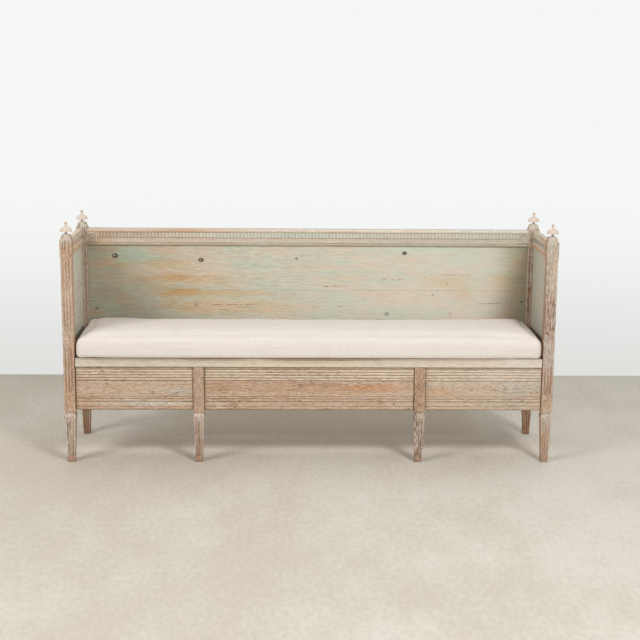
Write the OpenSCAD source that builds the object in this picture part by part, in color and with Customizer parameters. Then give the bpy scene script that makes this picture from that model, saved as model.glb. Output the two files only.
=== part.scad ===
// Long box-sided bench: square fluted posts with domed capitals and turned finials, a boarded
// back and sides, a lift-off seat lid that carries a cushion, and a front box that pulls out on
// its own two legs. Millimetres. X runs along the length, the front is at -Y, Z is up, and the
// origin is at the floor in the middle.

/* [Overall] */
// Length over the capitals
bench_len = 1900; // [1500:10:2300]
// Depth over the capitals
bench_depth = 450; // [420:5:560]
// Height of the capitals' shoulders
shoulder_z = 872; // [800:2:960]
// Height of the seat lid's top
seat_z = 415; // [405:1:445]

/* [Corner posts] */
// Side of the square post
post_w = 42.5; // [40:0.5:48]
// How far the capital stands out on each side
capital_proud = 1.5; // [1:0.25:3]
// Height of the capital's block
capital_h = 66; // [60:1:75]
// Height of the domed cap over the shoulder
dome_h = 21; // [16:1:28]
// Side of the flat top of the dome
dome_top_w = 22; // [20:1:26]
// Height of the tapered foot
foot_h = 174; // [150:1:180]
// Side of the foot at its top
foot_top_w = 40; // [36:0.5:40]
// Side of the foot at the floor
foot_tip_w = 26.5; // [22:0.5:32]
// Height of the collar over the foot
collar_h = 20; // [16:1:24]
// Height of the neck and its splay under the block
neck_h = 12; // [10:1:16]
// How far the neck is cut in on each side
neck_in = 2.75; // [2:0.25:4]
// Width of the plain chamfer on the post's edges
arris = 1.5; // [1:0.25:2.5]

/* [Flutes] */
// Width of a flute at the face
flute_w = 7.5; // [6:0.25:8.5]
// Depth of a flute
flute_deep = 2.2; // [1.5:0.1:3]
// Distance between flutes on the post
flute_pitch = 11.5; // [10:0.5:12]
// Height of the plain band that parts the upper and lower flutes
break_z = 486; // [470:1:520]
// Length of that plain band
break_h = 50; // [30:1:70]
// Length of plain wood that a run of flutes leaves at its end
flute_end = 10; // [8:1:16]
// Length of the plain block beside the apron's mouldings
block_h = 66; // [50:1:80]

/* [Finials] */
// Radius of the finial's brim
brim_r = 24; // [18:0.5:28]
// Height of the finial over the dome
finial_h = 48; // [40:1:60]
// Radius of the finial's stem
stem_r = 5; // [4:0.25:6.5]
// Radius of the pin that holds the finial
pin_r = 5; // [4:0.25:6]
// Length of that pin
pin_len = 18; // [12:1:26]

/* [Rails and boards] */
// Height of the top rails
rail_h = 70; // [66:1:90]
// How far the top rails lie under the shoulders
rail_drop = 3; // [1:0.5:8]
// Thickness of the back rails
back_rail_t = 26; // [22:1:28]
// How far the back rails lie behind the rear posts' fronts
back_inset = 7; // [6:0.5:9]
// Thickness of the side rails
side_rail_t = 20; // [18:1:22]
// How far the side rails lie inside the posts' outer faces
side_recess = 4.5; // [3:0.5:6]
// Thickness of the back boards
back_board_t = 14; // [10:1:16]
// Thickness of the side boards
side_board_t = 12; // [9:1:14]
// Height of the seam between the back boards
back_seam_z = 614; // [560:1:680]
// Height of the seam between the side boards
side_seam_z = 645; // [560:1:700]
// Depth of the grooves that hold the boards
groove_deep = 8; // [5:1:10]
// Length of the rails' tenons
tenon_len = 26; // [18:1:30]
// Radius of the pegs through the tenons
peg_r = 4; // [3:0.25:5]

/* [Carved top rail] */
// Height of the rounded strip on the top rail
cap_h = 15; // [12:1:18]
// How far that strip stands out
cap_out = 7; // [6:0.5:7]
// Height of the row of small blocks
dentil_h = 20; // [16:1:24]
// Distance from one small block to the next
dentil_pitch = 14; // [12:0.5:20]
// Width of one small block
dentil_w = 7.5; // [5:0.5:9]
// Depth of the cuts between the small blocks
dentil_deep = 3; // [2:0.5:4]
// Side of the square rosette blocks
rosette_w = 38; // [34:1:39]
// Height of the bead along the rail's lower edge
bead_h = 11; // [8:1:13]

/* [Apron mouldings] */
// Thickness of the apron
apron_t = 20; // [16:1:22]
// How far the apron lies behind the posts' fronts
apron_recess = 10.5; // [8:0.5:12]
// Pitch of the reeds
reed_pitch = 11.1; // [8:0.1:12]
// Depth of the reeds
reed_deep = 3; // [1.5:0.1:3.5]
// Number of reeds over the plain field
top_reeds = 5; // [3:1:5]
// Number of reeds under the plain field
low_reeds = 2; // [1:1:3]
// Height of the flat band under the lower reeds
band_h = 17; // [14:1:22]
// Height of the round edge at the bottom
edge_h = 15.5; // [12:0.5:18]

/* [Seat lid] */
// Thickness of the lid's boards
lid_t = 22; // [18:1:26]
// Thickness of the lid's front board
nosing_t = 33; // [30:1:42]
// Width of the lid's front board
nosing_w = 48; // [44:1:60]
// Width of a cleat under the lid
cleat_w = 45; // [35:1:60]
// Height of a cleat under the lid
cleat_h = 20; // [14:1:22]

/* [Pull-out box] */
// Side of a middle leg
leg_w = 41; // [38:0.5:46]
// Distance of a middle leg from the corner post beside it
leg_from_post = 498; // [380:1:560]
// Thickness of the box's boards
box_t = 18; // [14:1:20]
// Height of the box's sides
box_side_h = 96; // [70:1:100]
// Room between the box's back and the ledger behind it
box_rear_gap = 2; // [2:1:40]
// Thickness of the box's floor
floor_t = 12; // [9:1:14]
// Height of the runners
runner_h = 22; // [18:1:24]

/* [Cushion] */
// Height of the cushion at its edge
cushion_h = 82; // [60:1:110]
// How much the cushion's middle stands over its edge
crown_h = 7; // [3:1:14]
// How far the cushion stays inside the finials' brims at each end
cushion_in = 2; // [1:1:20]
// Radius of the cushion's upper edge
cushion_edge_r = 34; // [15:1:45]
// Radius of the cushion's corners in plan
cushion_corner_r = 14; // [10:1:45]
// How far the ends swell between the posts
end_swell = 3; // [2:1:10]
// How far the long sides are drawn in
side_draw = 2.5; // [0:0.5:6]

/* [Hidden] */

// Clearances: beside a sliding piece, over a sliding piece, beside a lifted piece, round a pin
slide_gap = 1;
lift_gap = 1;
pass_gap = 0.5;
pin_gap = 0.05;
// How far a cutter runs past the wood, and how finely round forms are drawn
past = 1;
round_fn = 48;
arc_steps = 8;

// Places that follow from the posts
capital_w = post_w + 2 * capital_proud;
post_x = (bench_len - capital_w) / 2;
post_y = (bench_depth - capital_w) / 2;
half_post = post_w / 2;
face_x = post_x + half_post;
inner_x = post_x - half_post;
inner_y = post_y - half_post;
front_y = -post_y - half_post;
capital_inner_x = post_x - capital_w / 2;
capital_inner_y = post_y - capital_w / 2;
capital_z = shoulder_z - capital_h;
dome_z = shoulder_z + dome_h;
block_z = foot_h + collar_h + neck_h;
apron_lift = 3;
apron_z = block_z + apron_lift;

// Places of the rails, the boards and the lid
rail_top = shoulder_z - rail_drop;
rail_z = rail_top - rail_h;
ledge_z = seat_z - lid_t;
nosing_z = seat_z - nosing_t;
back_y = inner_y + back_inset;
back_board_y = back_y + (back_rail_t - back_board_t) / 2;
side_x = face_x - side_recess;
side_inner_x = side_x - side_rail_t;
side_board_x = side_inner_x + (side_rail_t - side_board_t) / 2;
side_len = 2 * inner_y;
ledger_w = 20;
ledger_h = 27;

// Tenons and pegs
tenon_edge = 12;
tenon_end_gap = 1;
board_end_gap = 1;
back_tenon_len = 14;
front_tenon_t = 8;
front_tenon_edge = 5;
peg_proud = 0.4;
peg_deep = 24;
peg_in = 12;
peg_edge = 22;
peg_step = 28;
low_peg_z = [apron_z + peg_edge, apron_z + peg_edge + peg_step];
top_peg_z = [rail_z + peg_edge, rail_top - peg_edge];

// Dark line under the rounded strip, and how far the carved row lies behind its front
strip_gap = 1;
strip_back = 2;

// Flutes are cut by round bars whose axes lie outside the face, and close up down the foot
flute_r = (flute_w * flute_w / 4 + flute_deep * flute_deep) / (2 * flute_deep);
flute_out = flute_r - flute_deep;
foot_closing = 0.95;
foot_pitch_top = flute_pitch * foot_closing;
foot_pitch_tip = foot_pitch_top * foot_tip_w / foot_top_w;

// Places in the pull-out box
apron_y = front_y + apron_recess;
apron_back_y = apron_y + apron_t;
apron_top = nosing_z - lift_gap;
apron_h = apron_top - apron_z;
apron_end_gap = 3;
apron_half = inner_x - apron_end_gap;
runner_lift = 4;
runner_z = apron_z + runner_lift;
box_z = runner_z + runner_h;
box_side_in = 8;
box_side_x = inner_x - box_side_in;
runner_lap = 14;
runner_w = side_inner_x - box_side_x + runner_lap;
guide_h = 15;
bearer_h = 13;
bearer_w = 40;
bearer_in = 280;
box_back_rise = 24;
box_back_h = box_side_h + box_back_rise;
box_depth = back_y - ledger_w - box_rear_gap - apron_back_y;
leg_x = post_x - leg_from_post;
bearer_x = box_side_x - box_t - bearer_in;
front_rail_t = 22;
front_rail_h = 33;
front_rail_gap = 2;
front_rail_y = apron_back_y + front_rail_gap;
cheek_h = box_side_h + box_z - apron_z;

// Way up for the lid and the cushion, past the capitals, the brims and the strip on the back
way_x = min(capital_inner_x, post_x - brim_r);
way_y = min(capital_inner_y, post_y - brim_r);
way_back_y = back_y - cap_out;

// Places in the lid
lid_half = way_x - pass_gap;
lid_side_gap = 2;
lid_wide_half = side_inner_x - lid_side_gap;
lid_rear_y = way_back_y - pass_gap;
nosing_back_y = front_y + nosing_w;
lid_board_w = (lid_rear_y - nosing_back_y) / 2;
lid_notch_y = way_y - pass_gap;
cleat_gap = 4;
cleat_y = front_rail_y + front_rail_t + cleat_gap;
cleat_in = 300;
cleat_x = lid_half - cleat_in;

// Space of the cushion on the lid
cushion_half_x = way_x - cushion_in;
cushion_set_back = 0.5;
cushion_front_y = front_y + cushion_set_back;
cushion_rear_y = way_back_y - pass_gap;
cushion_half_y = (cushion_rear_y - cushion_front_y) / 2;
long_steps = 14;
end_steps = 6;
middle_gap = 14;
corner_spread = 0.3;
swell_fade = 60;
cushion_mid_y = (cushion_rear_y + cushion_front_y) / 2;

// Points of an arc, and of a round reed that stands out from a flat face
function arc(cx, cy, rx, ry, from, to, steps = arc_steps) =
    [for (i = [0 : steps]) let (a = from + (to - from) * i / steps) [cx + rx * cos(a), cy + ry * sin(a)]];
function reed(z0, z1, deep) =
    let (half = (z1 - z0) / 2, r = (half * half + deep * deep) / (2 * deep))
    [for (i = [0 : arc_steps]) let (z = z0 + (z1 - z0) * i / arc_steps, u = z - z0 - half)
        [sqrt(r * r - u * u) - r + deep, z]];
function flipped(list) = [for (i = [len(list) - 1 : -1 : 0]) [-list[i][0], list[i][1]]];

module box(from, to) {
    translate(from) cube(to - from);
}

// A length of moulding along X: the outline gives Y and Z
module along_x(length, outline) {
    rotate([90, 0, 90]) linear_extrude(height = length, center = true) polygon(outline);
}

// A square column whose two outlines are the same, so every curve is mitred at the edges
module square_column(outline) {
    reach = capital_w;
    intersection() {
        rotate([90, 0, 0])
            linear_extrude(height = reach, center = true) polygon(concat(outline, flipped(outline)));
        rotate([90, 0, 90])
            linear_extrude(height = reach, center = true) polygon(concat(outline, flipped(outline)));
    }
}

// A round bar with round ends from one point to another
module bar(from, to, r) {
    run = to - from;
    length = norm(run);
    translate(from) {
        sphere(r = r, $fn = round_fn);
        rotate([0, acos(run[2] / length), atan2(run[1], run[0])])
            cylinder(h = length, r = r, $fn = round_fn);
    }
    translate(to) sphere(r = r, $fn = round_fn);
}

// Cutters for three flutes on the face at -Y of a column
module flute_cut(z0, z1, half0, half1, pitch0, pitch1, which = [-1, 0, 1]) {
    for (i = which)
        bar([i * pitch0, -half0 - flute_out, z0], [i * pitch1, -half1 - flute_out, z1], flute_r);
}

module shaft_flutes(which = [-1, 0, 1]) {
    flute_cut(break_z + break_h / 2 + flute_end, capital_z - flute_end, half_post, half_post,
        flute_pitch, flute_pitch, which);
}

module low_flutes() {
    flute_cut(block_z + block_h + flute_end, break_z - break_h / 2 - flute_end, half_post, half_post,
        flute_pitch, flute_pitch);
}

module capital_flutes() {
    flute_cut(capital_z + flute_end, shoulder_z - flute_end, capital_w / 2, capital_w / 2,
        flute_pitch, flute_pitch);
}

function foot_half(z) = (foot_tip_w + (foot_top_w - foot_tip_w) * z / foot_h) / 2;

module foot_flutes() {
    low = 2.4 * flute_end;
    high = foot_h - flute_end;
    flute_cut(low, high, foot_half(low), foot_half(high), foot_pitch_tip, foot_pitch_top);
}

// Outline of the foot, collar, neck and block, up from the floor
function leg_outline(half) = concat(
    [[foot_tip_w / 2, 0], [foot_top_w / 2, foot_h]],
    arc(half - 1.5, foot_h + 3, 2, 3, -90, 0, 4),
    [[half + 0.5, foot_h + collar_h - 6]],
    [[half - neck_in + 0.5, foot_h + collar_h - 1]],
    [[half - neck_in, foot_h + collar_h]],
    [[half - neck_in, block_z - 8]],
    [[half, block_z]]);

// Outline of the post's head: shaft, capital, cove and dome
function head_outline() = concat(
    [[half_post, capital_z], [capital_w / 2, capital_z + capital_proud]],
    [[capital_w / 2, shoulder_z]],
    [[capital_w / 2 - 0.5, shoulder_z + 1.5]],
    arc(capital_w / 2 - 0.5, shoulder_z + 5.5, 3, 4, 270, 180, 4),
    arc(dome_top_w / 2, shoulder_z + 6, capital_w / 2 - 4 - dome_top_w / 2, dome_h - 6, 8, 90, 8));

// One corner post about its own centre line, with its outer side at +X and its front at -Y
module post_body() {
    intersection() {
        square_column(concat(leg_outline(half_post), head_outline()));
        union() {
            box([-capital_w, -capital_w, -past], [capital_w, capital_w, block_z]);
            translate([0, 0, block_z])
                linear_extrude(height = capital_z - block_z) chamfered_square(half_post, arris);
            box([-capital_w, -capital_w, capital_z], [capital_w, capital_w, dome_z + past]);
        }
    }
}

module chamfered_square(half, cut) {
    in = half - cut;
    polygon([[half, in], [in, half], [-in, half], [-half, in], [-half, -in], [-in, -half], [in, -half],
        [half, -in]]);
}

// Slots for the boards, mortises for the rails and the bore for the finial's pin, seen from a
// right-hand post: the boards come in from -X for the back, and along Y for the side
module side_slots(toward) {
    out = half_post + capital_proud + past;
    y0 = toward > 0 ? half_post - groove_deep : -out;
    y1 = toward > 0 ? out : -half_post + groove_deep;
    t0 = toward > 0 ? half_post - tenon_len : -out;
    t1 = toward > 0 ? out : -half_post + tenon_len;
    x0 = side_board_x - post_x;
    box([x0, y0, ledge_z - groove_deep], [x0 + side_board_t, y1, rail_z + groove_deep]);
    box([x0, t0, rail_z + tenon_edge], [x0 + side_board_t, t1, rail_top - tenon_edge]);
    box([x0, t0, apron_z + tenon_edge], [x0 + side_board_t, t1, ledge_z - tenon_edge]);
}

module back_slots() {
    y0 = back_board_y - post_y;
    box([-half_post - past, y0, ledge_z - groove_deep],
        [-half_post + groove_deep, y0 + back_board_t, rail_z + groove_deep]);
    box([-half_post - past - capital_proud, y0, rail_z + tenon_edge],
        [-half_post + back_tenon_len, y0 + back_board_t, rail_top - tenon_edge]);
    box([-half_post - past, y0, apron_z + tenon_edge],
        [-half_post + back_tenon_len, y0 + back_board_t, ledge_z - tenon_edge]);
}

module front_slots() {
    y0 = front_rail_y + post_y;
    box([-half_post - past, y0, nosing_z - front_rail_h + front_tenon_edge],
        [-half_post + back_tenon_len, y0 + front_tenon_t, nosing_z - front_tenon_edge]);
}

module pin_bore() {
    translate([0, 0, dome_z - pin_len]) cylinder(h = pin_len + past, r = pin_r + pin_gap, $fn = round_fn);
}

// Pegs through the right-hand tenons: two in each post's outer side, four in the rear post's back
module side_pegs(r, more = 0) {
    for (end = [-1, 1], z = low_peg_z)
        translate([face_x + peg_proud + more, end * (inner_y + peg_in), z])
            rotate([0, -90, 0]) cylinder(h = peg_deep + peg_proud + more, r = r, $fn = round_fn);
}

module back_pegs(r, more = 0) {
    for (z = concat(low_peg_z, top_peg_z))
        translate([inner_x + back_tenon_len / 2, peg_face_y(z) + peg_proud + more, z])
            rotate([90, 0, 0]) cylinder(h = peg_deep + peg_proud + more, r = r, $fn = round_fn);
}

function peg_face_y(z) = post_y + (z > capital_z ? capital_w / 2 : half_post);

module back_peg_bores() {
    for (side = [0, 1])
        mirror([side, 0, 0]) back_pegs(peg_r + pin_gap, past);
}

module front_post() {
    difference() {
        post_body();
        for (turn = [0, 90])
            rotate([0, 0, turn]) {
                shaft_flutes();
                low_flutes();
                capital_flutes();
                foot_flutes();
            }
        side_slots(1);
        front_slots();
        pin_bore();
    }
}

module rear_post() {
    difference() {
        post_body();
        rotate([0, 0, 90]) {
            shaft_flutes();
            low_flutes();
            capital_flutes();
        }
        for (turn = [0, 90])
            rotate([0, 0, turn]) foot_flutes();
        shaft_flutes([-1]);
        side_slots(-1);
        back_slots();
        pin_bore();
    }
}

// A turned finial, standing on the dome with its pin in the bore
module finial() {
    brim_z = 12;
    crown_z = finial_h - 19;
    outline = concat(
        [[0, -pin_len + pin_gap], [pin_r, -pin_len + pin_gap], [pin_r, 0], [stem_r * 2.1, 0]],
        arc(stem_r * 2.1, 5, stem_r * 1.3, 4.6, 270, 180, 5),
        [[stem_r * 0.8, 6.5], [stem_r * 1.7, brim_z - 1], [brim_r - 5, brim_z - 1.5]],
        arc(brim_r - 1.8, brim_z + 0.8, 1.8, 1.8, 270, 380, 5),
        arc(stem_r * 1.3, brim_z + 2, brim_r - 2 - stem_r * 1.3, crown_z - brim_z - 2, 10, 84, 9),
        [[stem_r * 1.05, crown_z + 2.5], [stem_r * 0.95, crown_z + 7], [stem_r * 1.1, finial_h - 7]],
        arc(stem_r * 0.6, finial_h - 3.5, stem_r * 0.8, 3.5, -60, 90, 8),
        [[0, finial_h]]);
    rotate_extrude($fn = round_fn) polygon(outline);
}

// Back rail: a plain board with a bead along its lower edge, and a tenon at each end
module back_top_rail() {
    bead = [for (p = reed(rail_z + 1, rail_z + 1 + bead_h, 3)) [back_y - p[0], p[1]]];
    outline = concat([[back_y + back_rail_t, rail_z], [back_y + 1, rail_z]], bead,
        [[back_y, rail_top - 2], [back_y + 2, rail_top], [back_y + back_rail_t - 3, rail_top],
        [back_y + back_rail_t, rail_top - 3]]);
    half = inner_x + back_tenon_len - tenon_end_gap;
    difference() {
        union() {
            along_x(2 * capital_inner_x, outline);
            box([-half, back_board_y, rail_z + tenon_edge],
                [half, back_board_y + back_board_t, rail_top - tenon_edge]);
            box([-inner_x, back_y + 1, rail_z], [inner_x, back_y + back_rail_t, capital_z]);
        }
        box([-inner_x - past, back_board_y, rail_z - past],
            [inner_x + past, back_board_y + back_board_t, rail_z + groove_deep]);
        back_peg_bores();
    }
}

// The rounded strip along the top of the back, in front of the rail
module back_cap_strip() {
    top = rail_top;
    low = rail_top - cap_h;
    outline = concat([[back_y, low], [back_y - cap_out + 3, low]],
        arc(back_y - cap_out + 5, low + cap_h / 2, 5, cap_h / 2, 240, 120, 8),
        [[back_y - cap_out + 4, top], [back_y, top]]);
    along_x(2 * capital_inner_x, outline);
}

// The row of small blocks, drawn as one comb in plan
module dentil_strip() {
    half = capital_inner_x - rosette_w;
    count = floor((2 * half - dentil_w) / dentil_pitch);
    start = -count * dentil_pitch / 2;
    front = back_y - cap_out + strip_back;
    comb = [for (i = [0 : count]) let (x = start + i * dentil_pitch)
        each [[x - dentil_w / 2, front + dentil_deep], [x - dentil_w / 2, front],
            [x + dentil_w / 2, front], [x + dentil_w / 2, front + dentil_deep]]];
    translate([0, 0, rail_top - cap_h - strip_gap - dentil_h])
        linear_extrude(height = dentil_h)
            polygon(concat([[-half, back_y], [-half, front + dentil_deep]], comb,
                [[half, front + dentil_deep], [half, back_y]]));
}

// A square block with a boss and a ring of beads
module rosette() {
    half = rosette_w / 2;
    front = back_y - cap_out + strip_back;
    z = rail_top - cap_h - strip_gap - half;
    rim = 3;
    floor_y = front + 1.5;
    boss_r = back_y - floor_y;
    beads = 10;
    bead_r = 2.6;
    ring_r = half - rim - bead_r - 1.5;
    x = capital_inner_x - half;
    translate([x, 0, z]) {
        difference() {
            box([-half, front, -half], [half, back_y, half]);
            translate([0, front - past, 0]) rotate([-90, 0, 0])
                cylinder(h = past + floor_y - front, r = half - rim, $fn = round_fn);
        }
        translate([0, floor_y, 0]) sphere(r = boss_r, $fn = round_fn);
        for (i = [0 : beads - 1])
            rotate([0, i * 360 / beads, 0])
                translate([ring_r, floor_y, 0]) sphere(r = bead_r, $fn = round_fn / 2);
    }
}

// Boards of the back and the sides, held in the grooves of posts and rails
module back_board(low, high) {
    half = inner_x + groove_deep - board_end_gap;
    box([-half, back_board_y, low], [half, back_board_y + back_board_t, high]);
}

module side_board(low, high) {
    half = inner_y + groove_deep - board_end_gap;
    box([side_board_x, -half, low], [side_board_x + side_board_t, half, high]);
}

module side_tenon(low, high) {
    half = inner_y + tenon_len - tenon_end_gap;
    box([side_board_x, -half, low], [side_board_x + side_board_t, half, high]);
}

module side_top_rail() {
    round_r = 4;
    grooves = 3;
    groove_pitch = 6;
    groove_r = 1.6;
    middle_z = rail_z + rail_h / 2;
    outline = concat([[side_inner_x, rail_z], [side_x, rail_z]],
        arc(side_x - round_r, rail_top - round_r, round_r, round_r, 0, 90, 6),
        arc(side_inner_x + round_r * 2, rail_top - round_r, round_r * 2, round_r, 90, 180, 6));
    difference() {
        union() {
            rotate([90, 0, 0])
                linear_extrude(height = 2 * capital_inner_y, center = true) polygon(outline);
            box([side_inner_x, -inner_y, rail_z], [side_x, inner_y, capital_z]);
            side_tenon(rail_z + tenon_edge, rail_top - tenon_edge);
        }
        box([side_board_x, -inner_y - past, rail_z - past],
            [side_board_x + side_board_t, inner_y + past, rail_z + groove_deep]);
        for (i = [0 : grooves - 1])
            translate([side_inner_x, 0, middle_z + (i - 1) * groove_pitch]) rotate([90, 0, 0])
                cylinder(h = side_len + past, r = groove_r, center = true, $fn = 24);
    }
}

// The shared face of the aprons: distance out from the bottom of the reeds, and height
function apron_face() =
    let (low0 = apron_z + edge_h + band_h, low1 = low0 + low_reeds * reed_pitch,
        top0 = apron_top - top_reeds * reed_pitch)
    concat(reed(apron_z, apron_z + edge_h, reed_deep),
        [[reed_deep, apron_z + edge_h + 0.6], [reed_deep, low0 - 0.6]],
        reeds(low0, low_reeds),
        [[reed_deep, low1 + 0.6], [reed_deep, top0 - 0.6]],
        reeds(top0, top_reeds));
function reeds(z, count) =
    [for (i = [0 : count - 1]) each reed(z + i * reed_pitch, z + (i + 1) * reed_pitch, reed_deep)];

module front_apron() {
    face = [for (p = apron_face()) [apron_y + reed_deep - p[0], p[1]]];
    along_x(2 * apron_half, concat([[apron_back_y, apron_z]], face, [[apron_back_y, apron_top]]));
}

module side_lower_rail() {
    face = [for (p = apron_face()) [side_x - reed_deep + p[0], p[1]]];
    outline = concat([[side_inner_x, apron_z]], face, [[side_x, apron_top + 1], [side_x, ledge_z],
        [side_inner_x, ledge_z]]);
    difference() {
        union() {
            rotate([90, 0, 0]) linear_extrude(height = side_len, center = true) polygon(outline);
            side_tenon(apron_z + tenon_edge, ledge_z - tenon_edge);
        }
        box([side_board_x, -inner_y - past, ledge_z - groove_deep],
            [side_board_x + side_board_t, inner_y + past, ledge_z + past]);
        side_pegs(peg_r + pin_gap, past);
    }
}

module back_lower_rail() {
    half = inner_x + back_tenon_len - tenon_end_gap;
    difference() {
        union() {
            box([-inner_x, back_y, apron_z], [inner_x, back_y + back_rail_t, ledge_z]);
            box([-half, back_board_y, apron_z + tenon_edge],
                [half, back_board_y + back_board_t, ledge_z - tenon_edge]);
        }
        box([-inner_x - past, back_board_y, ledge_z - groove_deep],
            [inner_x + past, back_board_y + back_board_t, ledge_z + past]);
        back_peg_bores();
    }
}

// The hidden rail between the front posts carries the lid and stops the box's back
module front_rail() {
    low = nosing_z - front_rail_h;
    half = inner_x + back_tenon_len - tenon_end_gap;
    box([-inner_x, front_rail_y, low], [inner_x, front_rail_y + front_rail_t, nosing_z]);
    box([-half, front_rail_y, low + front_tenon_edge],
        [half, front_rail_y + front_tenon_t, nosing_z - front_tenon_edge]);
}

module back_ledger() {
    box([-inner_x, back_y - ledger_w, ledge_z - ledger_h], [inner_x, back_y, ledge_z]);
}

module side_ledger() {
    box([side_inner_x - ledger_w, front_rail_y + front_rail_t, ledge_z - ledger_h],
        [side_inner_x, back_y - ledger_w, ledge_z]);
}

module runner() {
    box([side_inner_x - runner_w, -inner_y, runner_z], [side_inner_x, inner_y, box_z]);
}

module guide() {
    box([box_side_x + slide_gap, -inner_y, box_z], [side_inner_x, inner_y, box_z + guide_h]);
}

// A middle leg holds the apron in a slot between a front cheek and a shorter rear cheek
module middle_leg() {
    half = leg_w / 2;
    y = front_y + half;
    translate([leg_x, y, 0])
        difference() {
            intersection() {
                square_column(concat(leg_outline(half), [[half, apron_top]]));
                union() {
                    box([-leg_w, -leg_w, -past], [leg_w, leg_w, block_z]);
                    translate([0, 0, block_z])
                        linear_extrude(height = apron_top - block_z) chamfered_square(half, arris);
                }
            }
            for (turn = [-90, 0, 90])
                rotate([0, 0, turn]) foot_flutes();
            box([-leg_w, apron_y - y, apron_z], [leg_w, apron_back_y - y, apron_top + past]);
            box([-leg_w, apron_y - y, apron_z + cheek_h], [leg_w, leg_w, apron_top + past]);
        }
}

module box_side() {
    box([box_side_x - box_t, apron_back_y, box_z],
        [box_side_x, apron_back_y + box_depth, box_z + box_side_h]);
}

module box_back() {
    y = apron_back_y + box_depth;
    box([box_t - box_side_x, y - box_t, box_z], [box_side_x - box_t, y, box_z + box_back_h]);
}

// The floor's two boards; the front one is notched round the middle legs
module box_floor(part) {
    run = (box_depth - box_t) / 2;
    notch_gap = 0.5;
    y = apron_back_y + part * run;
    notch = leg_w / 2 + notch_gap;
    difference() {
        box([box_t - box_side_x, y, box_z], [box_side_x - box_t, y + run, box_z + floor_t]);
        for (side = [-1, 1])
            box([side * leg_x - notch, apron_back_y - past, box_z - past],
                [side * leg_x + notch, front_y + leg_w + notch_gap, box_z + floor_t + past]);
    }
}

module box_bearer(x) {
    box([x - bearer_w / 2, apron_back_y, box_z - bearer_h],
        [x + bearer_w / 2, apron_back_y + box_depth, box_z]);
}

module lid_nosing() {
    edge = 3;
    outline = concat([[nosing_back_y, nosing_z], [nosing_back_y, seat_z]],
        arc(front_y + edge, seat_z - edge, edge, edge, 90, 180, 5),
        arc(front_y + edge, nosing_z + edge, edge, edge, 180, 270, 5));
    along_x(2 * lid_half, outline);
}

module lid_board_front() {
    box([-lid_wide_half, nosing_back_y, ledge_z], [lid_wide_half, nosing_back_y + lid_board_w, seat_z]);
}

module lid_board_rear() {
    y = nosing_back_y + lid_board_w;
    translate([0, 0, ledge_z])
        linear_extrude(height = lid_t)
            polygon([[-lid_wide_half, y], [lid_wide_half, y], [lid_wide_half, lid_notch_y],
                [lid_half, lid_notch_y], [lid_half, lid_rear_y], [-lid_half, lid_rear_y],
                [-lid_half, lid_notch_y], [-lid_wide_half, lid_notch_y]]);
}

module lid_cleat(x) {
    box([x - cleat_w / 2, cleat_y, ledge_z - cleat_h],
        [x + cleat_w / 2, back_y - ledger_w - cleat_gap, ledge_z]);
}

// Cushion: closed rings of the plan outline, drawn in at the foot and lifted into a crown
function swell(x, y, inset) =
    let (u = x / cushion_half_x, v = y / cushion_half_y, fade = max(0, 1 - inset / swell_fade))
    [x + sign(x) * end_swell * fade * max(0, 1 - v * v) * pow(abs(u), 8),
        y - sign(y) * side_draw * fade * max(0, 1 - u * u)];

function corner(sx, sy, from, hx, hy, r) = arc(sx * (hx - r), sy * (hy - r), r, r, from, from + 90, 5);

function steps_between(a, b, n) = [for (i = [1 : n - 1]) a + (b - a) * i / n];

function cushion_ring(inset, z) =
    let (hx = cushion_half_x - end_swell - inset, hy = cushion_half_y - inset,
        r = min(cushion_corner_r + inset * corner_spread, hy - 1),
        plan = concat(
            corner(1, 1, 0, hx, hy, r), steps_between([hx - r, hy], [r - hx, hy], long_steps),
            corner(-1, 1, 90, hx, hy, r), steps_between([-hx, hy - r], [-hx, r - hy], end_steps),
            corner(-1, -1, 180, hx, hy, r), steps_between([r - hx, -hy], [hx - r, -hy], long_steps),
            corner(1, -1, 270, hx, hy, r), steps_between([hx, r - hy], [hx, hy - r], end_steps)))
    [for (p = plan) let (q = swell(p[0], p[1], inset)) [q[0], q[1] + cushion_mid_y, z]];

function crown_at(share) = crown_h * (1 - (1 - share) * (1 - share));

module seat_cushion() {
    side_h = cushion_h - cushion_edge_r;
    flat_w = cushion_half_y - middle_gap - cushion_edge_r;
    low = [[7, 0], [2.5, 3.5], [0.5, 10]];
    wall = [[0, side_h / 2]];
    rim = [for (a = [0 : 18 : 90]) [cushion_edge_r * (1 - cos(a)), side_h + cushion_edge_r * sin(a)]];
    top = [for (share = [0.2, 0.45, 0.7, 1]) [cushion_edge_r + flat_w * share, cushion_h + crown_at(share)]];
    stack = concat(low, wall, rim, top);
    rings = [for (s = stack) cushion_ring(s[0], seat_z + s[1])];
    n = len(rings[0]);
    count = len(rings);
    points = concat([[0, cushion_mid_y, seat_z]], [for (ring = rings) each ring],
        [[0, cushion_mid_y, seat_z + cushion_h + crown_h]]);
    sides = [for (k = [0 : count - 2], i = [0 : n - 1])
        let (a = 1 + k * n + i, b = 1 + k * n + (i + 1) % n)
        each [[a, a + n, b], [b, a + n, b + n]]];
    base = [for (i = [0 : n - 1]) [0, 1 + i, 1 + (i + 1) % n]];
    lid = [for (i = [0 : n - 1]) let (a = 1 + (count - 1) * n)
        [1 + count * n, a + (i + 1) % n, a + i]];
    polyhedron(points = points, faces = concat(sides, base, lid), convexity = 4);
}

// Turns a right-hand piece into its left-hand twin
module left() {
    mirror([1, 0, 0]) children();
}

module at_front() {
    translate([post_x, -post_y, 0]) children();
}

module at_rear() {
    translate([post_x, post_y, 0]) children();
}

module front_post_right() {
    color("peru")
        difference() {
            at_front() front_post();
            side_pegs(peg_r + pin_gap, past);
        }
}

module rear_post_right() {
    color("peru")
        difference() {
            at_rear() rear_post();
            side_pegs(peg_r + pin_gap, past);
            back_pegs(peg_r + pin_gap, past);
        }
}

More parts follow.
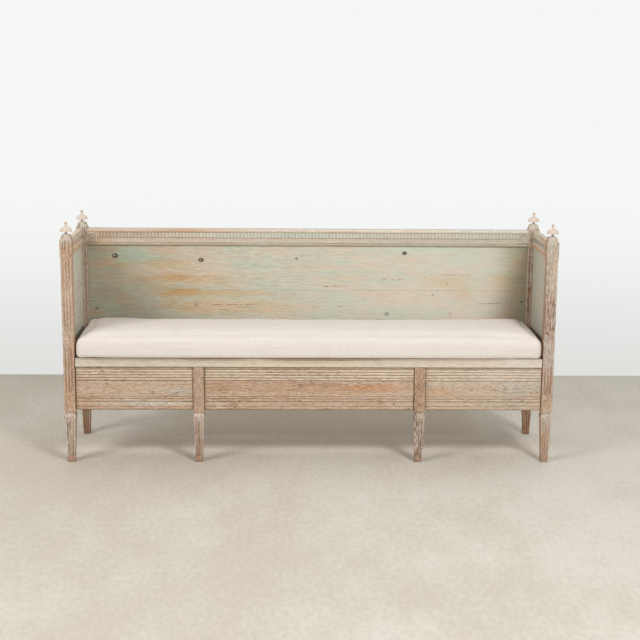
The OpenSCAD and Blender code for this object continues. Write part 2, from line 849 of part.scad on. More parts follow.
module finial_at(y) {
    color("wheat") translate([post_x, y, dome_z]) finial();
}

module tenon_pegs() {
    color("sienna")
        for (side = [0, 1])
            mirror([side, 0, 0]) {
                side_pegs(peg_r);
                back_pegs(peg_r);
            }
}

left() front_post_right();  // front_post_left
front_post_right();
left() rear_post_right();  // rear_post_left
rear_post_right();
left() finial_at(-post_y);  // finial_front_left
finial_at(-post_y);  // finial_front_right
left() finial_at(post_y);  // finial_rear_left
finial_at(post_y);  // finial_rear_right
color("tan") back_top_rail();
color("wheat") back_cap_strip();
color("tan") dentil_strip();
color("tan") left() rosette();  // rosette_left
color("tan") rosette();  // rosette_right
color("darkseagreen") back_board(back_seam_z, rail_z + groove_deep);  // back_board_upper
color("darkseagreen") back_board(ledge_z - groove_deep, back_seam_z);  // back_board_lower
color("tan") back_lower_rail();
color("burlywood") back_ledger();
color("tan") left() side_top_rail();  // side_top_rail_left
color("tan") side_top_rail();  // side_top_rail_right
color("darkseagreen") left() side_board(side_seam_z, rail_z + groove_deep);  // side_board_upper_left
color("darkseagreen") side_board(side_seam_z, rail_z + groove_deep);  // side_board_upper_right
color("darkseagreen") left() side_board(ledge_z - groove_deep, side_seam_z);  // side_board_lower_left
color("darkseagreen") side_board(ledge_z - groove_deep, side_seam_z);  // side_board_lower_right
color("tan") left() side_lower_rail();  // side_lower_rail_left
color("tan") side_lower_rail();  // side_lower_rail_right
color("burlywood") left() side_ledger();  // side_ledger_left
color("burlywood") side_ledger();  // side_ledger_right
color("burlywood") front_rail();
color("burlywood") left() runner();  // runner_left
color("burlywood") runner();  // runner_right
color("burlywood") left() guide();  // guide_left
color("burlywood") guide();  // guide_right
tenon_pegs();
color("sandybrown") front_apron();
color("peru") left() middle_leg();  // middle_leg_left
color("peru") middle_leg();  // middle_leg_right
color("burlywood") left() box_side();  // box_side_left
color("burlywood") box_side();  // box_side_right
color("burlywood") box_back();
color("burlywood") box_floor(0);  // box_floor_front
color("burlywood") box_floor(1);  // box_floor_rear
color("burlywood") box_bearer(-bearer_x);  // box_bearer_left
color("burlywood") box_bearer(0);  // box_bearer_middle
color("burlywood") box_bearer(bearer_x);  // box_bearer_right
color("cornsilk") lid_nosing();
color("cornsilk") lid_board_front();
color("cornsilk") lid_board_rear();
color("burlywood") lid_cleat(-cleat_x);  // lid_cleat_left
color("burlywood") lid_cleat(0);  // lid_cleat_middle
color("burlywood") lid_cleat(cleat_x);  // lid_cleat_right
color("ivory") seat_cushion();
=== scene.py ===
"""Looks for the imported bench: dry-scraped old paint on pine, a loose linen cushion and a plain pale room."""

import math

import bmesh
import bpy
from mathutils import Matrix, Vector, noise
from mathutils.bvhtree import BVHTree


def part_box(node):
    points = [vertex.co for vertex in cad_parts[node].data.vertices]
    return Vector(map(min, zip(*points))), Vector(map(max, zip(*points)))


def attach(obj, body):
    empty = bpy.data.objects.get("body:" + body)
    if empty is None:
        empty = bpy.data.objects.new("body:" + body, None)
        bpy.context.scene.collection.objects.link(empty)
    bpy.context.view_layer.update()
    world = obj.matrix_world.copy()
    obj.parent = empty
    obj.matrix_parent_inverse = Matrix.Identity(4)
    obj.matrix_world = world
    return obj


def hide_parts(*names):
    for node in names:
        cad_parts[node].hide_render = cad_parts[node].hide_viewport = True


bl_info = {
    "name": "Boarded Bench Looks",
    "version": (1, 0, 0),
    "blender": (4, 5, 0),
    "location": "3D View > Sidebar > Bench",
    "description": "Worn paint, a linen cushion and a plain room for the packed bench",
    "category": "Object",
}

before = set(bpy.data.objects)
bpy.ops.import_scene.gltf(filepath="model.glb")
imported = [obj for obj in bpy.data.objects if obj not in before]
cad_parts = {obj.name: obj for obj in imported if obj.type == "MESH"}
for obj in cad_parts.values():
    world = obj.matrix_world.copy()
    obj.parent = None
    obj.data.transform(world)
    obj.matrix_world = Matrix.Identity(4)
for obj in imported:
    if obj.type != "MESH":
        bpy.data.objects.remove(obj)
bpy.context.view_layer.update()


# Settings that a user would change


def srgb(*shade):
    """A colour given as 0 to 255 on screen, as the linear colour that a shader takes"""
    return tuple(((part / 255 + 0.055) / 1.055) ** 2.4 for part in shade) + (1.0,)


def colour_setting(name, description, *shade):
    return bpy.props.FloatVectorProperty(
        name=name, description=description, subtype="COLOR", size=4, min=0.0, max=1.0, default=srgb(*shade)
    )


def length_setting(name, description, metres, low, high):
    return bpy.props.FloatProperty(
        name=name, description=description, subtype="DISTANCE", unit="LENGTH", precision=4,
        default=metres, min=low, max=high,
    )


def plain_setting(name, description, value, low, high):
    return bpy.props.FloatProperty(name=name, description=description, default=value, min=low, max=high)


def angle_setting(name, description, radians):
    return bpy.props.FloatProperty(name=name, description=description, subtype="ANGLE", default=radians)


class BENCH_PG_finish(bpy.types.PropertyGroup):
    """Colours of the wood and the paints"""

    bare: colour_setting("Bare pine", "Scraped pine between the paint remains", 202, 172, 147)
    worn: colour_setting("Worn pine", "Orange pine where the scraper went deepest", 199, 156, 120)
    soot: colour_setting("Dark grit", "Shade of the darkest grit over wood and paint", 214, 208, 202)
    light: colour_setting("Light grit", "Shade of the lightest grit over wood and paint", 255, 255, 255)
    sap: colour_setting("Light pine", "Palest streaks of the scraped pine", 214, 192, 168)
    amber: colour_setting("Amber pine", "Patches where old resin shows", 212, 160, 116)
    # Also used for grime and painted shade in hollows, grooves and gaps
    grain: colour_setting("Dark grain", "Brown lines of the grain and dirt in the hollows", 138, 108, 90)
    chalk: colour_setting("Chalky remains", "Pale paint left in the pores", 213, 204, 193)
    # Also laid on sharp edges and moulding tops, partly as painted highlight
    crest: colour_setting("Crests", "Cream paint left on the crests of the mouldings", 230, 213, 191)
    rose: colour_setting("Rosy remains", "Pinkish primer left on posts and mouldings", 198, 168, 154)
    lichen: colour_setting("Green remains", "Grey-green paint left on rails and mouldings", 190, 190, 174)
    green: colour_setting("Board green", "Grey-green paint of the boards", 199, 202, 184)
    stone: colour_setting("Board beige", "Beige undercoat of the boards", 212, 200, 181)
    mint: colour_setting("Mint patch", "Bluish green patches on the boards", 182, 208, 194)
    lilac: colour_setting("Lilac grey", "Cool grey over the boards of the sides", 205, 199, 192)
    peach: colour_setting("Peach patch", "Pinkish patches on the boards", 222, 188, 164)
    ochre: colour_setting("Ochre patch", "Yellow-brown patches on the boards", 206, 170, 118)
    # Painted shade: olive colour laid over the back's ends, the rear posts, the right side boards and the seat
    # board's left part
    painted_shade: colour_setting("Old dirt", "Olive shade over the back's ends and the rear domes", 196, 195, 180)
    # Also used for painted shade over the ends of the back's top rail
    nick: colour_setting("Nicks", "Short dark marks where the grain is torn", 112, 82, 66)
    # Also used for the painted shadow between the cushion and the side boards
    knot: colour_setting("Knot", "Dark rings of the knots", 70, 60, 52)
    milk: colour_setting("Pale green cream", "Paint on the carved row of the back rail", 220, 216, 202)
    olive: colour_setting("Olive brown", "Dirt in the carved blocks at the rail's ends", 176, 157, 126)
    rail: colour_setting("Rail paint", "Stone-coloured paint of the top rails", 201, 195, 178)
    cream: colour_setting("Seat cream", "Yellowish cream paint of the seat board", 218, 206, 181)
    pale: colour_setting("Bleached wood", "Finials and cap strip", 228, 211, 196)
    inner: colour_setting("Inner pine", "Unpainted boards inside the box", 196, 160, 118)
    peg: colour_setting("Peg wood", "End grain of the pegs", 150, 110, 82)
    bevel: length_setting("Soft edge", "Rounding that wear has given to the edges", 0.0012, 0.0002, 0.004)


class BENCH_PG_cushion(bpy.types.PropertyGroup):
    """Sizes and colours of the cushion"""

    linen: colour_setting("Linen", "Off-white of the cover", 232, 224, 217)
    slub: colour_setting("Slub", "Darker threads of the cover", 218, 207, 195)
    voxel: length_setting("Mesh size", "Size of the mesh that is filled with air", 0.010, 0.006, 0.02)
    swell: length_setting("Greatest swell", "How far a point of the cover may move", 0.014, 0.004, 0.03)
    shrink: length_setting("Starting gap", "How much smaller the cushion starts", 0.007, 0.0, 0.02)
    sag: length_setting("Pressed height", "Height that the cushion's weight presses flat", 0.030, 0.005, 0.06)
    plump: length_setting("Plumpness", "How far the filled cover stands over its solid", 0.0045, 0.0, 0.01)
    spread: length_setting("Spread", "How far the cover stands past its solid's ends", 0.0022, 0.0, 0.004)
    squared: plain_setting("Squareness", "How far the weight presses the bottom edge outwards", 0.8, 0.0, 0.9)
    corner_lift: length_setting("Corner lift", "How far the left rear corner stands up", 0.020, 0.0, 0.03)
    round_under: length_setting("Lower round", "Radius of the lower edge at both ends", 0.013, 0.001, 0.03)
    edge_lift: length_setting("Edge lift", "Gap under the cushion's front edge", 0.0015, 0.0, 0.010)
    seam_up: length_setting("Seam height", "Height of the bottom seam over the seat", 0.011, 0.004, 0.03)
    stitch_pitch: length_setting("Stitch pitch", "Distance from one stitch to the next", 0.006, 0.003, 0.02)
    stitch_length: length_setting("Stitch length", "Length of one stitch", 0.0042, 0.002, 0.015)
    stitch_radius: length_setting("Thread radius", "Radius of the thread", 0.0004, 0.0002, 0.001)
    weave: length_setting("Thread pitch", "Distance between two threads of the cover", 0.0012, 0.0005, 0.003)


class BENCH_PG_stage(bpy.types.PropertyGroup):
    """Room, lamps and camera"""

    floor: colour_setting("Floor", "Pale warm floor", 219, 213, 202)
    stain: colour_setting("Floor stain", "Darker clouds in the floor", 206, 197, 183)
    # Painted shadow: warm darkening of the floor under the bench's back
    painted_shadow: colour_setting("Floor dust", "Warm dust that gathers under the bench", 182, 166, 142)
    # Painted light: paler floor in front of that shadow
    floor_painted_light: colour_setting("Swept floor", "Paler strip that brooms reach under the bench", 238, 231, 217)
    painted_shadow_share: plain_setting("Dust share", "How much dust lies under the bench's back", 0.55, 0.0, 1.0)
    scuffed: colour_setting("Floor scuffs", "Tint of the fine scuffs all over the floor", 246, 246, 246)
    clean: colour_setting("Clean floor", "Tint between the scuffs", 255, 255, 255)
    wall: colour_setting("Wall", "Near-white wall", 245, 247, 246)
    # Painted shade: the wall is darker towards its foot
    wall_foot_shade: colour_setting("Wall foot", "Wall close to the floor", 222, 222, 219)
    wall_y: length_setting("Wall distance", "Wall's distance from the bench's middle", 1.27, 0.5, 4.0)
    key: plain_setting("Front window", "Watts of the soft lamp in front on the right", 148.0, 0.0, 1000.0)
    fill: plain_setting("Side window", "Watts of the soft lamp on the left", 122.0, 0.0, 1000.0)
    sky: plain_setting("Room light", "Strength of the even light from all round", 0.44, 0.0, 4.0)
    eye: bpy.props.FloatVectorProperty(
        name="Camera place", description="Where the camera stands", subtype="TRANSLATION", unit="LENGTH",
        default=(-0.0923, -5.2543, 1.5375),
    )
    yaw: angle_setting("Camera yaw", "Turn of the camera to the right", 0.026)
    pitch: angle_setting("Camera pitch", "Tilt of the camera towards the floor", 0.1901)
    roll: angle_setting("Camera roll", "Turn about the line of sight", 0.0084)
    lens: bpy.props.FloatProperty(
        name="Lens", description="Focal length on a 36 mm frame", unit="CAMERA", default=75.05, min=10.0
    )


# Making materials


class Net:
    """A node tree in the making; most calls add a node or a few and hand back an output"""

    def __init__(self, tree):
        self.tree = tree

    def feed(self, socket, value):
        """Links an output to the socket, or puts a plain value in it"""
        if isinstance(value, bpy.types.NodeSocket):
            self.tree.links.new(value, socket)
        else:
            socket.default_value = value

    def add(self, kind, inputs, out=0, **settings):
        """Adds a node with its settings, feeds its inputs and hands back one output"""
        node = self.tree.nodes.new(kind)
        for key, value in settings.items():
            setattr(node, key, value)
        for key, value in inputs.items():
            self.feed(node.inputs[key], value)
        return node.outputs[out]

    def math(self, operation, a, b=0.0, c=0.0):
        return self.add("ShaderNodeMath", {0: a, 1: b, 2: c}, operation=operation)

    def size(self, value):
        """The value without its sign"""
        return self.math("ABSOLUTE", value)

    def vector(self, operation, a, b, c=(0.0, 0.0, 0.0), out=0):
        return self.add("ShaderNodeVectorMath", {0: a, 1: b, 2: c}, out, operation=operation)

    def scaled(self, point, scale, offset=(0.0, 0.0, 0.0)):
        return self.add("ShaderNodeMapping", {"Vector": point, "Location": offset, "Scale": scale})

    def noise(self, point, detail=2.0, rough=0.5, out=0):
        inputs = {"Vector": point, "Scale": 1.0, "Detail": detail, "Roughness": rough}
        return self.add("ShaderNodeTexNoise", inputs, out)

    def band(self, value, low, high, to_low=0.0, to_high=1.0):
        """The value's way from low to high, with soft ends"""
        inputs = {0: value, 1: low, 2: high, 3: to_low, 4: to_high}
        return self.add("ShaderNodeMapRange", inputs, interpolation_type="SMOOTHSTEP")

    def times(self, a, b):
        return self.math("MULTIPLY", a, b)

    def mix(self, share, a, b, how="MIX"):
        """The share of b laid over a; 6, 7 and 2 are the node's sockets for colours"""
        return self.add("ShaderNodeMix", {0: share, 6: a, 7: b}, 2, data_type="RGBA", blend_type=how)

    def stain(self, share, a, b):
        """The share of b laid over a as a dark glaze"""
        return self.mix(share, a, b, "MULTIPLY")

    def ramp(self, value, stops):
        """The colour at the value, from stops of place and colour"""
        node = self.tree.nodes.new("ShaderNodeValToRGB")
        elements = node.color_ramp.elements
        while len(elements) < len(stops):
            elements.new(0.5)
        for element, (place, shade) in zip(elements, stops):
            element.position = place
            element.color = shade
        self.feed(node.inputs[0], value)
        return node.outputs[0]

    def axes(self, point):
        """The point's X, Y and Z"""
        node = self.tree.nodes.new("ShaderNodeSeparateXYZ")
        self.feed(node.inputs[0], point)
        return node.outputs

    def total(self, *values):
        amount = values[0]
        for value in values[1:]:
            amount = self.math("ADD", amount, value)
        return amount

    def blend(self, *parts):
        """The sum of values, each times its weight"""
        return self.total(*[self.times(value, weight) for value, weight in parts])

    def stripe(self, value, centre, half, soft):
        """One inside a stripe of the value, fading to nought over the soft width"""
        off = self.size(self.math("SUBTRACT", value, centre))
        return self.band(off, half, half + soft, 1.0, 0.0)

    def spot(self, point, place, wide, high):
        """Distance from a place in the plane of X and Z, in units of the spot's half width and height"""
        away = self.vector("SUBTRACT", point, (place[0], 0.0, place[1]))
        away = self.vector("MULTIPLY", away, (1.0 / wide, 0.0, 1.0 / high))
        return self.add("ShaderNodeVectorMath", {0: away}, "Value", operation="LENGTH")

    def close(self, shader):
        """Ends a material with its surface"""
        output = self.tree.nodes.new("ShaderNodeOutputMaterial")
        self.tree.links.new(shader, output.inputs["Surface"])


def new_material(name):
    """A new material and the empty node tree to build it in"""
    material = bpy.data.materials.new(name)
    material.use_nodes = True
    material.node_tree.nodes.clear()
    return material, Net(material.node_tree)


def place_on_object(net, seed=(0.0, 0.0, 0.0)):
    """Object coordinates, shifted by a piece's own seed so that no two boards are alike"""
    return net.vector("ADD", net.add("ShaderNodeTexCoord", {}, "Object"), seed)


def facing(net):
    """The way a face looks, along the bench, from front to back and upwards"""
    return net.axes(net.add("ShaderNodeTexCoord", {}, "Normal"))


# How much dry wood shines, and how strongly its small bumps show
WOOD_SHINE = 0.22
BUMP_STRENGTH = 0.6


def close_wood(net, colour, height, rough, depth=0.0012):
    """Ends a wood finish: small bumps over edges that wear has softened"""
    soft = net.add("ShaderNodeBevel", {"Radius": bpy.context.scene.bench_finish.bevel}, samples=4)
    bumps = {"Strength": BUMP_STRENGTH, "Distance": depth, "Height": height, "Normal": soft}
    normal = net.add("ShaderNodeBump", bumps)
    surface = {
        "Base Color": colour, "Roughness": rough, "Specular IOR Level": WOOD_SHINE, "Normal": normal,
    }
    net.close(net.add("ShaderNodeBsdfPrincipled", surface))


def dress(names, material):
    """Gives CAD nodes a finish and leaves their meshes alone"""
    for name in names:
        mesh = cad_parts[name].data
        if not mesh.materials:
            mesh.materials.append(material)
        for place in range(len(mesh.materials)):
            mesh.materials[place] = material


def sided(*stems):
    """The names of the left and the right piece of each kind"""
    return [f"{stem}_{side}" for stem in stems for side in ("left", "right")]


# Wood


def scales(along, run, across):
    """Scales of a noise that is drawn out along one axis"""
    return tuple(run if axis == along else across for axis in "XYZ")


# Figure of the pine: how far its lines sway, the angle its bands turn through in a metre, and their drift
FIGURE_SWAY = 0.014
BAND_ANGLE = 380.0
BAND_DRIFT = 26.0


def figure(net, point, along, run=85.0):
    """Pine figure along one axis: bands, streaks, fibres and grit, each from 0 to 1"""
    sway = net.noise(net.scaled(point, scales(along, 1.4, 9.0)), 1.0, out="Color")
    moved = net.vector("MULTIPLY_ADD", sway, (FIGURE_SWAY,) * 3, point)
    lane = {"X": (0.0, 0.35, 1.0), "Y": (0.35, 0.0, 1.0), "Z": (1.0, 0.9, 0.0)}[along]
    across = net.vector("DOT_PRODUCT", moved, lane, out="Value")
    drift = net.noise(net.scaled(point, scales(along, 0.8, 6.0)), 1.0)
    phase = net.math("MULTIPLY_ADD", across, BAND_ANGLE, net.times(drift, BAND_DRIFT))
    bands = net.math("MULTIPLY_ADD", net.math("SINE", phase), 0.5, 0.5)
    streaks = net.noise(net.scaled(moved, scales(along, 9.0, 120.0)), 5.0, 0.66)
    fibres = net.noise(net.scaled(moved, scales(along, 34.0, 640.0)), 3.0, 0.65)
    grit = net.noise(net.scaled(point, scales(along, run, 230.0), (5.0, 2.0, 9.0)), 4.0, 0.75)
    return bands, streaks, fibres, grit


# Painted shade together with grime: darkness for grooves and inner corners, such as the shadow line under the
# cap of the rail
def hollow_dirt_and_shade(net, reach, low=0.35, high=0.95):
    """One in grooves and inner corners, nought on open faces"""
    open_share = net.add("ShaderNodeAmbientOcclusion", {"Distance": reach}, "AO", samples=6, only_local=True)
    return net.band(open_share, low, high, 1.0, 0.0)


def crests(net, reach):
    """One on sharp outer edges and the tops of thin mouldings, nought on broad faces"""
    settings = {"samples": 6, "only_local": True, "inside": True}
    share = net.add("ShaderNodeAmbientOcclusion", {"Distance": reach}, "AO", **settings)
    return net.band(share, 0.97, 0.68)


def by_height(net, point, stops):
    """An amount that changes with the height over the floor, from pairs of metres and amount"""
    up = net.axes(point)[2]
    return net.ramp(up, [(height, (amount, amount, amount, 1.0)) for height, amount in stops])


def straying(net, point, along):
    """Slow wandering in all three ways, by which the edges of painted patches stray"""
    return net.noise(net.scaled(point, scales(along, 9.0, 30.0)), 3.0, 0.6, "Color")


def torn_grain(net, point, along, run, across):
    """Short thin marks along the grain, from 0 to 1"""
    return net.noise(net.scaled(point, scales(along, run, across), (2.0, 5.0, 8.0)), 4.0, 0.75)


def gritty(net, share, colour, grit):
    """The colour under a glaze of fine dark grit"""
    look = bpy.context.scene.bench_finish
    return net.stain(share, colour, net.ramp(grit, [(0.34, look.soot), (0.62, look.light)]))


# Patches on the front apron: colour, place, half width, half height, strength
APRON_PATCHES = (
    ("amber", (-0.75, 0.301), 0.090, 0.018, 0.45),
    ("lichen", (-0.50, 0.282), 0.070, 0.014, 0.75),
    ("crest", (-0.52, 0.232), 0.090, 0.008, 0.80),
    ("milk", (-0.62, 0.238), 0.220, 0.014, 0.75),
    ("crest", (-0.68, 0.290), 0.200, 0.030, 0.25),
    ("nick", (-0.34, 0.316), 0.070, 0.004, 0.45),
    ("nick", (-0.08, 0.322), 0.140, 0.002, 0.50),
    ("nick", (0.12, 0.283), 0.110, 0.002, 0.45),
    ("crest", (0.10, 0.325), 0.090, 0.004, 0.45),
    ("crest", (-0.18, 0.278), 0.120, 0.005, 0.45),
    ("grain", (-0.35, 0.296), 0.070, 0.010, 0.35),
    ("crest", (-0.32, 0.229), 0.150, 0.006, 0.45),
    ("lichen", (-0.32, 0.358), 0.060, 0.010, 0.70),
    ("worn", (-0.05, 0.300), 0.300, 0.026, 0.50),
    ("grain", (-0.15, 0.288), 0.120, 0.004, 0.35),
    ("grain", (0.05, 0.312), 0.160, 0.004, 0.35),
    ("amber", (-0.10, 0.296), 0.080, 0.010, 0.40),
    ("grain", (0.10, 0.305), 0.060, 0.005, 0.30),
    ("amber", (0.25, 0.298), 0.120, 0.014, 0.75),
    ("amber", (0.50, 0.291), 0.050, 0.018, 0.60),
    ("lichen", (0.47, 0.310), 0.040, 0.012, 0.60),
    ("amber", (0.68, 0.300), 0.090, 0.014, 0.40),
    ("lichen", (0.84, 0.300), 0.100, 0.030, 0.75),
    ("chalk", (0.78, 0.360), 0.200, 0.050, 0.85),
    ("milk", (0.70, 0.360), 0.280, 0.050, 0.50),
    ("chalk", (-0.70, 0.300), 0.220, 0.030, 0.40),
    ("chalk", (-0.62, 0.360), 0.280, 0.040, 0.35),
    ("rose", (-0.62, 0.366), 0.260, 0.024, 0.35),
    ("chalk", (0.62, 0.235), 0.160, 0.010, 0.50),
    ("lichen", (0.80, 0.235), 0.160, 0.012, 0.50),
)

# Patches on the fronts of posts and middle legs: colour, place, half width, half height, strength
LEFT_POST_PATCHES = (
    ("worn", (-0.929, 0.838), 0.030, 0.026, 0.75),
    ("amber", (-0.918, 0.790), 0.008, 0.030, 0.55),
    ("worn", (-0.938, 0.740), 0.010, 0.070, 0.60),
    ("sap", (-0.922, 0.660), 0.008, 0.090, 0.70),
    ("rose", (-0.920, 0.580), 0.012, 0.040, 0.50),
    ("nick", (-0.9495, 0.650), 0.003, 0.200, 0.55),
    ("crest", (-0.929, 0.868), 0.030, 0.007, 0.60),
    ("peach", (-0.929, 0.838), 0.030, 0.026, 0.50),
    ("worn", (-0.929, 0.330), 0.030, 0.100, 0.35),
    ("crest", (-0.929, 0.110), 0.030, 0.070, 0.60),
    ("crest", (-0.929, 0.700), 0.020, 0.120, 0.35),
    ("chalk", (-0.929, 0.886), 0.030, 0.012, 0.80),
)
REAR_POST_PATCHES = (
    ("milk", (-0.929, 0.886), 0.035, 0.014, 0.95),
    ("milk", (0.929, 0.886), 0.035, 0.014, 0.95),
)
LEG_PATCHES = (
    ("crest", (0.4293, 0.110), 0.030, 0.060, 0.75),
    ("crest", (0.4293, 0.080), 0.030, 0.080, 0.60),
    ("chalk", (0.4293, 0.090), 0.030, 0.090, 0.40),
    ("crest", (-0.4293, 0.150), 0.030, 0.020, 0.40),
    ("worn", (0.4293, 0.300), 0.020, 0.070, 0.45),
    ("chalk", (-0.4293, 0.300), 0.016, 0.100, 0.50),
    ("rose", (-0.4350, 0.350), 0.008, 0.050, 0.45),
    ("nick", (-0.4480, 0.300), 0.002, 0.110, 0.55),
    ("nick", (-0.4110, 0.340), 0.002, 0.060, 0.45),
    ("crest", (-0.4293, 0.190), 0.030, 0.008, 0.55),
    ("crest", (0.4293, 0.190), 0.030, 0.008, 0.55),
)
RIGHT_POST_PATCHES = (
    ("crest", (0.929, 0.720), 0.030, 0.130, 0.75),
    ("milk", (0.919, 0.850), 0.010, 0.022, 0.95),
    ("milk", (0.929, 0.886), 0.030, 0.014, 0.90),
    ("mint", (0.917, 0.846), 0.006, 0.012, 0.50),
    ("crest", (0.930, 0.740), 0.014, 0.050, 0.50),
    ("lichen", (0.926, 0.800), 0.012, 0.020, 0.55),
    ("crest", (0.930, 0.700), 0.012, 0.060, 0.60),
    ("rose", (0.936, 0.620), 0.010, 0.040, 0.50),
    ("sap", (0.926, 0.560), 0.012, 0.060, 0.60),
    ("chalk", (0.928, 0.400), 0.010, 0.060, 0.60),
    ("rose", (0.936, 0.330), 0.010, 0.050, 0.55),
    ("nick", (0.9498, 0.600), 0.002, 0.240, 0.60),
    ("worn", (0.938, 0.480), 0.010, 0.050, 0.45),
    ("worn", (0.930, 0.290), 0.030, 0.080, 0.75),
    ("worn", (0.930, 0.080), 0.030, 0.060, 0.75),
    ("chalk", (0.929, 0.886), 0.030, 0.012, 0.80),
)

# Height of one reed under the seat, and how many of them run along the apron's top
REED_PITCH = 0.0111
TOP_REEDS = 5

# Shares of a reed's height, from its crest, over which paint with painted highlight grows full and the groove
# grows dark with painted shade
REED_CREST = (0.42, 0.30)
REED_GROOVE = (0.42, 0.48)

# How far apart the flutes of a post are, and how far grit shakes the lines along them
FLUTE_PITCH = 0.0115
FLUTE_SHAKE = 0.003

# Distances from the middle of a flute over which its wax with painted shade, and the paint with painted
# highlight on the ribs, grow full
FLUTE_WAX_AND_SHADE = (0.0026, 0.0006)
RIB_PAINT_AND_HIGHLIGHT = (0.0040, 0.0052)

# Heights between which a foot widens, and how much closer together its flutes stand at the floor
FOOT_TAPER = (0.02, 0.17, 1.45)

# Heights over which the wax and painted shade in the flutes thin out above a foot, and how much stronger they
# are in the foot
FOOT_WAX_AND_SHADE = (0.17, 0.28, 1.8)

# Half of the width across which a post is fluted, with the soft end of it
FLUTED_HALF = (0.0155, 0.0175)

# Heights of a post's fluted runs: where the flutes begin and are full, and where they begin to end and end
FLUTED_RUNS = (
    (0.028, 0.034, 0.158, 0.164),
    (0.285, 0.292, 0.444, 0.450),
    (0.523, 0.529, 0.790, 0.796),
    (0.818, 0.824, 0.858, 0.862),
)

# How far along the bench the painted shadows beside the middle legs are
LEG_GAP_SHADOWS = (0.4078, 0.4507)

# Old nail holes and dark knots on front faces: place and radius
APRON_HOLES = (((0.329, 0.234), 0.0030), ((-0.412, 0.296), 0.0020))
LEG_HOLES = (((0.448, 0.0965), 0.0030),)
RIGHT_POST_HOLES = (((0.9486, 0.2685), 0.0035),)

# How far the edges of patches stray along the bench and upwards, on level and on upright pieces
LEVEL_SWAY = (0.10, 0.035)
UPRIGHT_SWAY = (0.012, 0.060)

# Heights between which the shade of a rear post fades out at the foot of its dome
DOME_FOOT = (0.868, 0.880)


def rubbed_patches(net, colour, spot, wander, small, patches, sway=LEVEL_SWAY):
    """Long soft patches at their places on a front face; sway is how far their edges stray"""
    look = bpy.context.scene.bench_finish
    loose = net.vector("MULTIPLY_ADD", wander, (sway[0], 0.0, sway[1]), spot)
    loose = net.vector("SUBTRACT", loose, (sway[0] / 2, 0.0, sway[1] / 2))
    streaky = net.band(small, 0.40, 0.60, 0.45, 1.0)
    for kind, place, wide, high, strength in patches:
        near = net.band(net.spot(loose, place, wide, high), 0.3, 1.7, strength, 0.0)
        colour = net.mix(net.times(near, streaky), colour, getattr(look, kind))
    return colour


def reeds(net, colour, spot, clouds, grit):
    """Cream paint and painted highlight on the crests of the apron's reeds, grime and painted shade in the
    grooves between them, and painted shadow beside the middle legs
    """
    look = bpy.context.scene.bench_finish
    low, high = (corner.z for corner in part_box("front_apron"))
    x, _, z = net.axes(spot)
    shaky = net.math("MULTIPLY_ADD", net.math("SUBTRACT", grit, 0.5), 0.0015, z)
    part = net.math("FRACT", net.times(net.math("SUBTRACT", high, shaky), 1.0 / REED_PITCH))
    from_crest = net.size(net.math("SUBTRACT", part, 0.5))
    reeded_from = high - TOP_REEDS * REED_PITCH
    above = net.band(shaky, reeded_from - 0.001, reeded_from)
    edge = net.times(net.band(shaky, low + 0.004, low + 0.001), net.band(clouds, 0.35, 0.60, 0.3, 0.9))
    colour = net.stain(edge, colour, look.grain)
    side = net.band(net.math("MULTIPLY_ADD", clouds, 0.6, x), -0.6, 0.9, 0.7, 1.0)
    crest = net.times(net.times(net.band(from_crest, *REED_CREST), above), side)
    crest = net.times(crest, net.band(clouds, 0.30, 0.55, 0.45, 1.0))
    colour = net.mix(crest, colour, look.crest)
    groove = net.times(net.band(from_crest, *REED_GROOVE), above)
    groove = net.times(groove, net.band(x, 0.3, 0.9, 1.0, 0.4))
    groove = net.times(groove, net.band(clouds, 0.65, 0.40, 0.2, 0.8))
    colour = net.stain(groove, colour, look.grain)
    # Painted shadow in the gaps beside the middle legs
    for place in LEG_GAP_SHADOWS:
        gap = net.stripe(net.size(x), place, 0.0010, 0.0035)
        colour = net.stain(net.times(gap, 0.7), colour, look.grain)
    return colour


def flute_dirt_and_shade(net, colour, spot, grit, share, node, top):
    """Dark wax and painted shade in the flutes of a post, up to a height, and paint with painted highlight on
    the ribs between them
    """
    look = bpy.context.scene.bench_finish
    shake = net.add("ShaderNodeCombineXYZ", {"X": grit, "Y": grit})
    shaky = net.vector("MULTIPLY_ADD", shake, (FLUTE_SHAKE, FLUTE_SHAKE, 0.0), spot)
    x, y, z = net.axes(net.vector("SUBTRACT", shaky, (FLUTE_SHAKE / 2, FLUTE_SHAKE / 2, 0.0)))
    low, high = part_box(node)
    middle = (low + high) / 2
    from_x = net.math("SUBTRACT", net.size(x), middle.x)
    from_y = net.math("SUBTRACT", net.size(y), abs(middle.y))
    on_front = net.math("GREATER_THAN", net.size(from_y), net.size(from_x))
    across = net.math("MULTIPLY_ADD", on_front, net.math("SUBTRACT", from_x, from_y), from_y)
    across = net.times(across, net.band(z, *FOOT_TAPER, 1.0))
    from_flute = net.math("PINGPONG", net.size(across), FLUTE_PITCH / 2)
    ends = []
    for start, full, ending, end in FLUTED_RUNS:
        ends += [net.band(z, start, full), net.band(z, ending, end, 0.0, -1.0)]
    fluted = net.times(net.total(*ends), net.band(z, top, top + 0.001, 1.0, 0.0))
    uneven = net.noise(net.scaled(spot, (95.0, 95.0, 5.0)), 3.0, 0.65)
    inside = net.times(fluted, net.band(net.size(across), *FLUTED_HALF, share, 0.0))
    inside = net.times(inside, net.band(uneven, 0.40, 0.60, 0.1, 1.0))
    colour = net.mix(net.times(inside, net.band(from_flute, *RIB_PAINT_AND_HIGHLIGHT, 0.0, 0.7)), colour, look.crest)
    inside = net.times(inside, net.band(z, *FOOT_WAX_AND_SHADE, 1.0))
    return net.stain(net.times(inside, net.band(from_flute, *FLUTE_WAX_AND_SHADE)), colour, look.grain)


def inner_faces(net, colour, share):
    """Orange pine on the faces that look along the bench, where the paint has gone"""
    look = bpy.context.scene.bench_finish
    sideways = net.band(net.size(facing(net)[0]), 0.6, 0.9)
    return net.mix(net.times(sideways, share), colour, look.worn)


